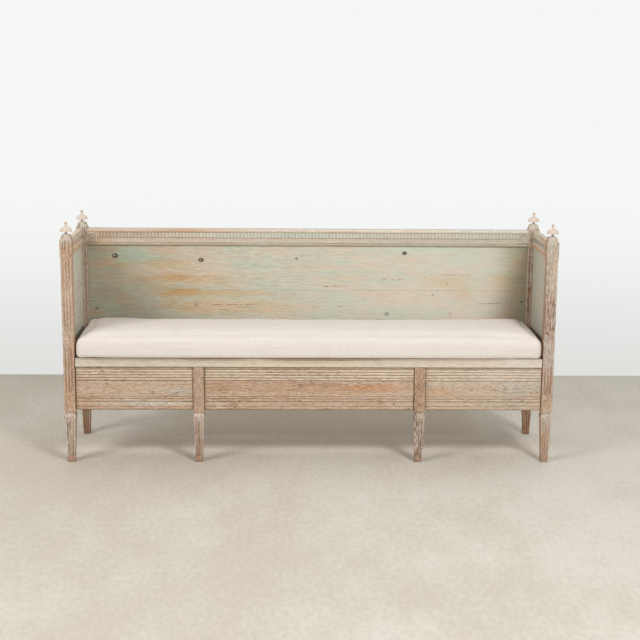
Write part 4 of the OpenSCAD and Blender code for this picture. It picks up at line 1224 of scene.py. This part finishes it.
def seam_path(context, cushion, look):
    """A closed curve round the cushion at the height of its seam"""
    tree = BVHTree.FromObject(cushion, context.evaluated_depsgraph_get())
    low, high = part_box("seat_cushion")
    height = low.z + look.seam_up
    inset = Vector((SEAM_CORNER, SEAM_CORNER, 0.0))
    low, high = low + inset, high - inset
    plan = ((low.x, low.y), (high.x, low.y), (high.x, high.y), (low.x, high.y))
    corners = [Vector((x, y, height)) for x, y in plan]
    quarter = math.pi / 2
    rim = []
    for side in range(4):
        start, end = corners[side], corners[(side + 1) % 4]
        turn = (side - 1) * quarter
        steps = SEAM_STEPS[side % 2]
        rim += [(start.lerp(end, step / steps), turn) for step in range(steps)]
        rim += [(end, turn + quarter * step / SEAM_TURN_STEPS) for step in range(SEAM_TURN_STEPS)]
    points = []
    for place, turn in rim:
        out = Vector((math.cos(turn), math.sin(turn), 0.0))
        hit = tree.ray_cast(place + out * 2 * SEAM_CORNER, -out)[0]
        if hit is not None:
            points.append(hit + out * THREAD_GAP)
    curve = bpy.data.curves.new("seam_path", "CURVE")
    curve.dimensions = "3D"
    spline = curve.splines.new("POLY")
    spline.points.add(len(points) - 1)
    for place, point in zip(spline.points, points):
        place.co = (*point, 1.0)
    spline.use_cyclic_u = True
    path = bpy.data.objects.new("seam_path", curve)
    context.scene.collection.objects.link(path)
    return path


def stitch_tree():
    """Geometry nodes: one short thread at each step along a curve"""
    tree = bpy.data.node_groups.new("stitches_along_path", "GeometryNodeTree")
    sockets = tree.interface
    sockets.new_socket("Path", in_out="INPUT", socket_type="NodeSocketGeometry")
    for title in ("Pitch", "Length", "Radius"):
        sockets.new_socket(title, in_out="INPUT", socket_type="NodeSocketFloat")
    sockets.new_socket("Thread", in_out="INPUT", socket_type="NodeSocketMaterial")
    sockets.new_socket("Stitches", in_out="OUTPUT", socket_type="NodeSocketGeometry")
    net = Net(tree)
    given = tree.nodes.new("NodeGroupInput").outputs
    steps = {"Curve": given["Path"], "Length": given["Pitch"]}
    even = net.add("GeometryNodeResampleCurve", steps, mode="LENGTH")
    tangent = net.add("GeometryNodeInputTangent", {})
    turn = net.add("FunctionNodeAlignRotationToVector", {"Vector": tangent}, axis="X")
    ball = net.add("GeometryNodeMeshUVSphere", {"Segments": 6, "Rings": 5, "Radius": 1.0})
    half = net.math("MULTIPLY", given["Length"], 0.5)
    size = net.add("ShaderNodeCombineXYZ", {"X": half, "Y": given["Radius"], "Z": given["Radius"]})
    inputs = {"Points": even, "Instance": ball, "Rotation": turn, "Scale": size}
    threads = net.add("GeometryNodeInstanceOnPoints", inputs)
    solid = net.add("GeometryNodeRealizeInstances", {"Geometry": threads})
    finished = net.add("GeometryNodeSetMaterial", {"Geometry": solid, "Material": given["Thread"]})
    tree.links.new(finished, tree.nodes.new("NodeGroupOutput").inputs["Stitches"])
    return tree


# Operators


# Heights over the floor with the amount of paint that is left there
POST_LEFT = (
    (0.0, 0.3), (0.05, 0.8), (0.16, 1.0), (0.18, 1.1), (0.20, 0.35), (0.8, 0.5), (0.86, 0.4), (0.88, 1.2),
)
POST_RIGHT = (
    (0.0, 0.2), (0.05, 0.8), (0.16, 0.8), (0.18, 1.1), (0.21, 0.5), (0.45, 1.1), (0.8, 1.3), (0.87, 1.5),
)
POST_REAR = ((0.0, 0.0), (0.2, 0.1), (0.3, 0.6), (0.6, 0.7), (0.8, 0.7), (0.87, 1.0))
LEG = ((0.0, 0.2), (0.05, 1.1), (0.16, 1.2), (0.18, 1.4), (0.21, 0.3), (0.4, 0.15))
EVEN = ((0.0, 0.34), (1.0, 0.34))
THIN = ((0.0, 0.2), (1.0, 0.2))


class BENCH_OT_posts(bpy.types.Operator):
    """Scraped finish on the posts and the middle legs"""

    bl_idname = "bench.posts"
    bl_label = "Posts and Legs"

    def execute(self, context):
        left = scraped_wood(
            "post_front_left", "Z", (0.3, 0.1, 0.0), POST_LEFT, rosy=0.6, worn=0.6, dark=0.85, nicked=0.04,
            warm_tip=True, film=0.75, fluted=0.5, inner=0.35, painted_light_to_right=1.0, patches=LEFT_POST_PATCHES,
        )
        dress(["front_post_left"], left)
        right = scraped_wood(
            "post_front_right", "Z", (2.3, 1.1, 0.4), POST_RIGHT, rosy=0.5, worn=0.6, dark=1.0, nicked=0.09,
            warm_tip=True, film=0.9, dirt_and_shade=0.25, fluted=0.3, inner=0.7, painted_light_to_right=0.8,
            patches=RIGHT_POST_PATCHES, holes=RIGHT_POST_HOLES,
        )
        dress(["front_post_right"], right)
        rear = scraped_wood(
            "post_rear_left", "Z", (4.3, 2.1, 0.9), POST_REAR, rosy=0.3, worn=0.1, dark=0.9, nicked=0.06,
            warm_tip=True, fluted=0.5, painted_shade_share=0.35, patches=REAR_POST_PATCHES,
        )
        dress(["rear_post_left"], rear)
        rear = scraped_wood(
            "post_rear_right", "Z", (6.3, 3.1, 0.2), POST_REAR, rosy=0.5, worn=0.2, dark=0.9, nicked=0.05,
            warm_tip=True, fluted=0.4, painted_shade_share=0.2, patches=REAR_POST_PATCHES,
        )
        dress(["rear_post_right"], rear)
        legs = scraped_wood(
            "leg_middle", "Z", (8.3, 4.1, 0.7), LEG, rosy=0.6, worn=0.5, dark=1.0, nicked=0.1, warm_tip=True,
            film=0.85, fluted=0.5, flutes_of="middle_leg_right", flute_top=0.2, painted_light_to_right=0.5,
            patches=LEG_PATCHES, holes=LEG_HOLES,
        )
        dress(sided("middle_leg"), legs)
        return {"FINISHED"}


class BENCH_OT_aprons(bpy.types.Operator):
    """Scraped finish on the mouldings under the seat"""

    bl_idname = "bench.aprons"
    bl_label = "Aprons"

    def execute(self, context):
        front = scraped_wood(
            "apron", "X", (1.3, 0.6, 0.1), EVEN, worn=0.6, dark=0.8, nicked=0.03, run=40.0, film=0.35,
            dirt_and_shade=0.4, reeded=True, painted_light_to_right=0.8, patches=APRON_PATCHES, holes=APRON_HOLES,
        )
        dress(["front_apron"], front)
        side = scraped_wood("side_apron", "Y", (3.3, 0.2, 0.1), EVEN, dark=0.7, run=40.0, film=0.5)
        dress(sided("side_lower_rail"), side)
        back = scraped_wood("back_apron", "X", (5.3, 0.9, 0.1), THIN, rosy=0.3, worn=0.4, run=40.0, film=0.5)
        dress(["back_lower_rail"], back)
        return {"FINISHED"}


class BENCH_OT_rails(bpy.types.Operator):
    """Stone paint on the top rails and their carving"""

    bl_idname = "bench.rails"
    bl_label = "Top Rails"

    def execute(self, context):
        look = context.scene.bench_finish
        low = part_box("back_top_rail")[0].z
        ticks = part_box("dentil_strip")[0].z
        # Painted lines along a piece: colour, height over the floor, half height, strength
        lines = (
            ("peach", ticks - 0.007, 0.0015, 0.75),
            ("pale", low + 0.0165, 0.0020, 0.6),
            ("grain", low + 0.0120, 0.0009, 0.85),
            ("olive", low + 0.0060, 0.0030, 0.7),
        )
        rail = plain_paint(
            "rail_back", "X", (0.7, 0.3, 0.2), look.rail, look.bare, wear=0.35, nicked=0.6, dirt_and_shade=0.7,
            lines=lines, patches=RAIL_PATCHES,
        )
        dress(["back_top_rail"], rail)
        strip = plain_paint(
            "rail_carving", "X", (0.2, 0.8, 0.6), look.milk, look.stone, wear=0.35, nicked=0.3, green=0.15,
            dirt_and_shade=0.3, patches=STRIP_PATCHES,
        )
        dress(["dentil_strip"], strip)
        left = plain_paint(
            "rosette_left", "X", (0.9, 0.1, 0.3), look.olive, look.grain, wear=0.2, nicked=0.6, green=0.2,
            dirt_and_shade=1.0, crest=0.9,
        )
        dress(["rosette_left"], left)
        right = plain_paint(
            "rosette_right", "X", (0.5, 0.7, 0.9), look.rail, look.bare, green=0.2, dirt_and_shade=0.45
        )
        dress(["rosette_right"], right)
        cap = plain_paint(
            "cap_strip", "X", (2.7, 0.3, 0.6), look.pale, look.bare, wear=0.35, nicked=0.6, green=0.1,
            rough=0.4, patches=CAP_PATCHES,
        )
        dress(["back_cap_strip"], cap)
        middle = sum(corner.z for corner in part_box("side_top_rail_left")) / 2
        lines = (
            ("lichen", middle + 0.024, 0.0070, 0.6),
            ("rose", middle + 0.004, 0.0100, 0.6),
            ("worn", middle - 0.026, 0.0090, 0.6),
            ("grain", middle - 0.0035, 0.0006, 0.4),
        )
        left = plain_paint(
            "rail_left", "Y", (4.7, 0.3, 0.4), look.crest, look.rose, wear=0.5, nicked=0.5, lines=lines
        )
        dress(["side_top_rail_left"], left)
        lines = (
            ("lichen", middle, 0.0075, 0.7),
            ("grain", middle + 0.0060, 0.0010, 0.8),
            ("grain", middle - 0.0060, 0.0010, 0.8),
            ("worn", middle - 0.028, 0.0080, 0.8),
        )
        # The right rail is painted darker and the left one paler, partly their own paints and partly painted
        # shade and light
        right = plain_paint(
            "rail_right", "Y", (3.1, 1.3, 0.9), look.stone, look.bare, wear=0.45, nicked=0.6, green=0.5,
            lines=lines,
        )
        dress(["side_top_rail_right"], right)
        return {"FINISHED"}


class BENCH_OT_boards(bpy.types.Operator):
    """Green and beige paints on the boards of the back and sides"""

    bl_idname = "bench.boards"
    bl_label = "Painted Boards"

    def execute(self, context):
        back_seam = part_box("back_board_upper")[0].z
        side_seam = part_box("side_board_upper_left")[0].z
        boards = painted_boards("boards_back", "X", (0.4, 0.0, 0.3), back_seam, back=True)
        dress(["back_board_upper", "back_board_lower"], boards)
        # The left boards are painted paler as painted light and the right ones darker as painted shade
        boards = painted_boards(
            "boards_left", "Y", (0.9, 2.2, 0.8), side_seam, cool=0.35, light=0.75, joint_share=0.9,
            joint_half=0.0012,
        )
        dress(["side_board_upper_left", "side_board_lower_left"], boards)
        boards = painted_boards(
            "boards_right", "Y", (1.7, 0.2, 0.3), side_seam, painted_shade_share=0.2, cool=0.5, joint_share=0.5
        )
        dress(["side_board_upper_right", "side_board_lower_right"], boards)
        return {"FINISHED"}


class BENCH_OT_finials(bpy.types.Operator):
    """Bleached wood on the finials and end grain on the pegs"""

    bl_idname = "bench.finials"
    bl_label = "Finials and Pegs"

    def execute(self, context):
        look = context.scene.bench_finish
        pale = plain_paint(
            "finial_wood", "Z", (0.2, 0.9, 0.5), look.pale, look.bare, wear=0.35, nicked=0.3, green=0.1
        )
        dress(sided("finial_front", "finial_rear"), pale)
        dress(["tenon_pegs"], plain_pine("peg_wood", "X", (0.1, 0.4, 0.8), look.peg, look.grain))
        return {"FINISHED"}


class BENCH_OT_lid(bpy.types.Operator):
    """Cream paint on the seat board"""

    bl_idname = "bench.lid"
    bl_label = "Seat Lid"

    def execute(self, context):
        look = context.scene.bench_finish
        low, high = (corner.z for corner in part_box("lid_nosing"))
        lines = (
            ("pale", low + 0.008, 0.0040, 0.65),
            ("olive", low + 0.021, 0.0040, 0.25),
            # Painted shadow under the cushion's front edge, along the top of the seat board
            ("grain", high - 0.0030, 0.0034, 0.80),
        )
        cream = plain_paint(
            "seat_cream", "X", (0.6, 0.5, 0.4), look.cream, look.stone, wear=0.45, nicked=0.7, green=0.3,
            lines=lines, patches=SEAT_PATCHES,
        )
        dress(["lid_nosing", "lid_board_front", "lid_board_rear"], cream)
        return {"FINISHED"}


class BENCH_OT_inside(bpy.types.Operator):
    """Unpainted pine on the box, the runners and the cleats"""

    bl_idname = "bench.inside"
    bl_label = "Inner Boards"

    def execute(self, context):
        look = context.scene.bench_finish
        lengthwise = plain_pine("inner_pine_long", "X", (0.5, 0.2, 0.9), look.inner, look.grain)
        crosswise = plain_pine("inner_pine_cross", "Y", (1.5, 0.7, 0.1), look.inner, look.grain)
        dress(["back_ledger", "front_rail", "box_back", "box_floor_front", "box_floor_rear"], lengthwise)
        dress(sided("side_ledger", "runner", "guide", "box_side", "box_bearer", "lid_cleat"), crosswise)
        dress(["box_bearer_middle", "lid_cleat_middle"], crosswise)
        return {"FINISHED"}


class BENCH_OT_cushion(bpy.types.Operator):
    """Linen cushion, filled with air as cloth and settled on the seat"""

    bl_idname = "bench.cushion"
    bl_label = "Cushion"

    def execute(self, context):
        look = context.scene.bench_cushion
        form = starting_form(context, look)
        filled_with_air(context, form, look)
        finer = form.modifiers.new("finer", "SUBSURF")
        finer.levels = finer.render_levels = 1
        cushion = baked(context, form, "seat_cushion_linen")
        drop(form)
        fit_to_box(cushion.data, look)
        settle(cushion.data, look)
        cushion.data.shade_smooth()
        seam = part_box("seat_cushion")[0].z + look.seam_up
        cushion.data.materials.clear()
        cushion.data.materials.append(linen("linen", seam))
        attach(cushion, "cushion")
        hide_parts("seat_cushion")
        return {"FINISHED"}


class BENCH_OT_stitches(bpy.types.Operator):
    """Row of stitches along the cushion's bottom seam"""

    bl_idname = "bench.stitches"
    bl_label = "Cushion Stitches"

    def execute(self, context):
        look = context.scene.bench_cushion
        path = seam_path(context, bpy.data.objects["seat_cushion_linen"], look)
        thread, net = new_material("thread")
        surface = {"Base Color": look.slub, "Roughness": 0.8}
        net.close(net.add("ShaderNodeBsdfPrincipled", surface))
        sewing = path.modifiers.new("sewing", "NODES")
        values = {
            "Pitch": look.stitch_pitch, "Length": look.stitch_length, "Radius": look.stitch_radius,
            "Thread": thread,
        }
        set_modifier(sewing, stitch_tree(), values)
        stitches = baked(context, path, "cushion_stitches")
        drop(path)
        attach(stitches, "cushion")
        return {"FINISHED"}


# The room: how far the floor reaches to each side, and the wall's height
FLOOR_REACH = 9.0
WALL_HEIGHT = 7.0

# Heights between which the painted shade at the wall's foot fades into the wall
WALL_FOOT = (-0.15, 0.9)

# Painted shadow under the bench's back and a painted paler strip in front of it: middle, half width and soft
# edge, along X and then along Y
PAINTED_FLOOR_SHADOW = ((0.08, 0.50, 0.35), (0.43, 0.20, 0.14))
PAINTED_FLOOR_LIGHT = ((0.0, 0.85, 0.20), (0.02, 0.04, 0.14))

# Lamps: place, the point they shine at, and their width and height
WINDOW = ((2.1, -4.1, 4.0), (0.1, 0.0, 0.4), (1.3, 1.3))
SIDE_WINDOW = ((-3.8, -3.4, 3.5), (-0.2, 0.0, 0.4), (1.8, 1.8))

FILM_WIDTH_MM = 36.0


def flat_sheet(context, name, corners, material):
    """One flat face of the room, which is no piece of the bench"""
    mesh = bpy.data.meshes.new(name)
    mesh.from_pydata(corners, [], [(0, 1, 2, 3)])
    mesh.materials.append(material)
    sheet = bpy.data.objects.new(name, mesh)
    context.scene.collection.objects.link(sheet)


def floor_material(look):
    """Pale floor with clouds and scuffs, painted light towards the right, painted shadow under the bench's
    back and a painted paler strip in front of it
    """
    material, net = new_material("floor")
    point = place_on_object(net)
    clouds = net.noise(net.scaled(point, (1.4, 1.0, 1.0)), 5.0, 0.55)
    rubbed = net.noise(net.scaled(point, (7.0, 3.0, 1.0)), 5.0, 0.65)
    fine = net.noise(net.scaled(point, (60.0, 30.0, 1.0)), 4.0, 0.6)
    shade = net.blend((clouds, 0.55), (rubbed, 0.3), (fine, 0.15))
    x, y, _ = net.axes(point)
    # Painted light: the floor grows paler towards the right
    shade = net.math("MULTIPLY_ADD", x, 0.048, shade)
    colour = net.mix(net.band(shade, 0.38, 0.64), look.stain, look.floor)
    # Painted shadow under the bench's back
    under = net.times(net.stripe(x, *PAINTED_FLOOR_SHADOW[0]), net.stripe(y, *PAINTED_FLOOR_SHADOW[1]))
    colour = net.mix(net.times(under, look.painted_shadow_share), colour, look.painted_shadow)
    # Painted light in a strip in front of the shadow
    floor_painted_light = net.times(net.stripe(x, *PAINTED_FLOOR_LIGHT[0]), net.stripe(y, *PAINTED_FLOOR_LIGHT[1]))
    colour = net.mix(net.times(floor_painted_light, 0.8), colour, look.floor_painted_light)
    colour = net.stain(1.0, colour, net.ramp(fine, [(0.35, look.scuffed), (0.65, look.clean)]))
    surface = {"Base Color": colour, "Roughness": 0.6, "Specular IOR Level": 0.3}
    net.close(net.add("ShaderNodeBsdfPrincipled", surface))
    return material


def wall_material(look):
    """Wall that glows its pale colour, with painted shade at its foot, to the eye and in reflections, and
    shows nothing from behind
    """
    material, net = new_material("wall")
    up = net.axes(place_on_object(net))[2]
    colour = net.mix(net.band(up, *WALL_FOOT), look.wall_foot_shade, look.wall)
    paint = net.add("ShaderNodeBsdfDiffuse", {"Color": colour})
    glow = net.add("ShaderNodeEmission", {"Color": colour, "Strength": 1.0})
    rays = net.tree.nodes.new("ShaderNodeLightPath").outputs
    seen = net.math("MAXIMUM", rays["Is Camera Ray"], rays["Is Glossy Ray"])
    seen = net.math("MAXIMUM", seen, rays["Is Transmission Ray"])
    front = net.add("ShaderNodeMixShader", {0: seen, 1: paint, 2: glow})
    behind = net.tree.nodes.new("ShaderNodeNewGeometry").outputs["Backfacing"]
    clear = net.add("ShaderNodeBsdfTransparent", {})
    net.close(net.add("ShaderNodeMixShader", {0: behind, 1: front, 2: clear}))
    return material


def room_light(context, look):
    """Even white light from all round, which the eye sees as the wall's own pale colour"""
    world = bpy.data.worlds.new("room_light")
    world.use_nodes = True
    world.node_tree.nodes.clear()
    net = Net(world.node_tree)
    white = net.add("ShaderNodeBackground", {"Color": (1.0, 1.0, 1.0, 1.0), "Strength": look.sky})
    pale = net.add("ShaderNodeBackground", {"Color": look.wall, "Strength": 1.0})
    rays = net.tree.nodes.new("ShaderNodeLightPath").outputs
    seen = net.add("ShaderNodeMixShader", {0: rays["Is Camera Ray"], 1: white, 2: pale})
    output = net.tree.nodes.new("ShaderNodeOutputWorld")
    net.tree.links.new(seen, output.inputs["Surface"])
    context.scene.world = world


def lamp(context, name, setting, power):
    """A soft rectangular lamp, turned to what it shines at"""
    place, target, size = setting
    data = bpy.data.lights.new(name, "AREA")
    data.shape = "RECTANGLE"
    data.size, data.size_y = size
    data.energy = power
    light = bpy.data.objects.new(name, data)
    light.location = place
    light.rotation_euler = (Vector(target) - Vector(place)).to_track_quat("-Z", "Y").to_euler()
    context.scene.collection.objects.link(light)


def aim_camera(context, look):
    """The photograph's viewpoint, from its yaw, pitch and roll"""
    level = math.cos(look.pitch)
    ahead = Vector((math.sin(look.yaw) * level, math.cos(look.yaw) * level, -math.sin(look.pitch)))
    side = Vector((math.cos(look.yaw), -math.sin(look.yaw), 0.0))
    top = side.cross(ahead)
    right = math.cos(look.roll) * side + math.sin(look.roll) * top
    up = math.cos(look.roll) * top - math.sin(look.roll) * side
    data = bpy.data.cameras.new("camera")
    data.lens = look.lens
    data.sensor_width = FILM_WIDTH_MM
    camera = bpy.data.objects.new("camera", data)
    columns = Matrix((right, up, -ahead)).transposed().to_4x4()
    camera.matrix_world = Matrix.Translation(look.eye) @ columns
    context.scene.collection.objects.link(camera)
    context.scene.camera = camera


class BENCH_OT_stage(bpy.types.Operator):
    """Floor, wall, lamps and camera"""

    bl_idname = "bench.stage"
    bl_label = "Room and Camera"

    def execute(self, context):
        look = context.scene.bench_stage
        y, wide, high = look.wall_y, FLOOR_REACH, WALL_HEIGHT
        floor = [(-wide, -wide, 0.0), (wide, -wide, 0.0), (wide, wide, 0.0), (-wide, wide, 0.0)]
        wall = [(-wide, y, 0.0), (wide, y, 0.0), (wide, y, high), (-wide, y, high)]
        flat_sheet(context, "floor", floor, floor_material(look))
        flat_sheet(context, "wall", wall, wall_material(look))
        lamp(context, "window", WINDOW, look.key)
        lamp(context, "side_window", SIDE_WINDOW, look.fill)
        room_light(context, look)
        context.scene.view_settings.view_transform = "Standard"
        aim_camera(context, look)
        return {"FINISHED"}


OPERATORS = (
    BENCH_OT_posts, BENCH_OT_aprons, BENCH_OT_rails, BENCH_OT_boards, BENCH_OT_finials, BENCH_OT_lid,
    BENCH_OT_inside, BENCH_OT_cushion, BENCH_OT_stitches, BENCH_OT_stage,
)


class BENCH_PT_panel(bpy.types.Panel):
    """Lists the bench's pieces and settings"""

    bl_idname = "BENCH_PT_panel"
    bl_label = "Boarded Bench"
    bl_space_type = "VIEW_3D"
    bl_region_type = "UI"
    bl_category = "Bench"

    def draw(self, context):
        for operator in OPERATORS:
            self.layout.operator(operator.bl_idname)
        for group in (context.scene.bench_finish, context.scene.bench_cushion, context.scene.bench_stage):
            for key in group.bl_rna.properties.keys():
                if key not in ("rna_type", "name"):
                    self.layout.prop(group, key)


CLASSES = (BENCH_PG_finish, BENCH_PG_cushion, BENCH_PG_stage) + OPERATORS + (BENCH_PT_panel,)


def register():
    for item in CLASSES:
        bpy.utils.register_class(item)
    bpy.types.Scene.bench_finish = bpy.props.PointerProperty(type=BENCH_PG_finish)
    bpy.types.Scene.bench_cushion = bpy.props.PointerProperty(type=BENCH_PG_cushion)
    bpy.types.Scene.bench_stage = bpy.props.PointerProperty(type=BENCH_PG_stage)


def unregister():
    del bpy.types.Scene.bench_stage
    del bpy.types.Scene.bench_cushion
    del bpy.types.Scene.bench_finish
    for item in reversed(CLASSES):
        bpy.utils.unregister_class(item)


def main():
    register()
    bpy.ops.bench.posts()
    bpy.ops.bench.aprons()
    bpy.ops.bench.rails()
    bpy.ops.bench.boards()
    bpy.ops.bench.finials()
    bpy.ops.bench.lid()
    bpy.ops.bench.inside()
    bpy.ops.bench.cushion()
    bpy.ops.bench.stitches()
    bpy.ops.bench.stage()


if __name__ == "__main__":
    main()
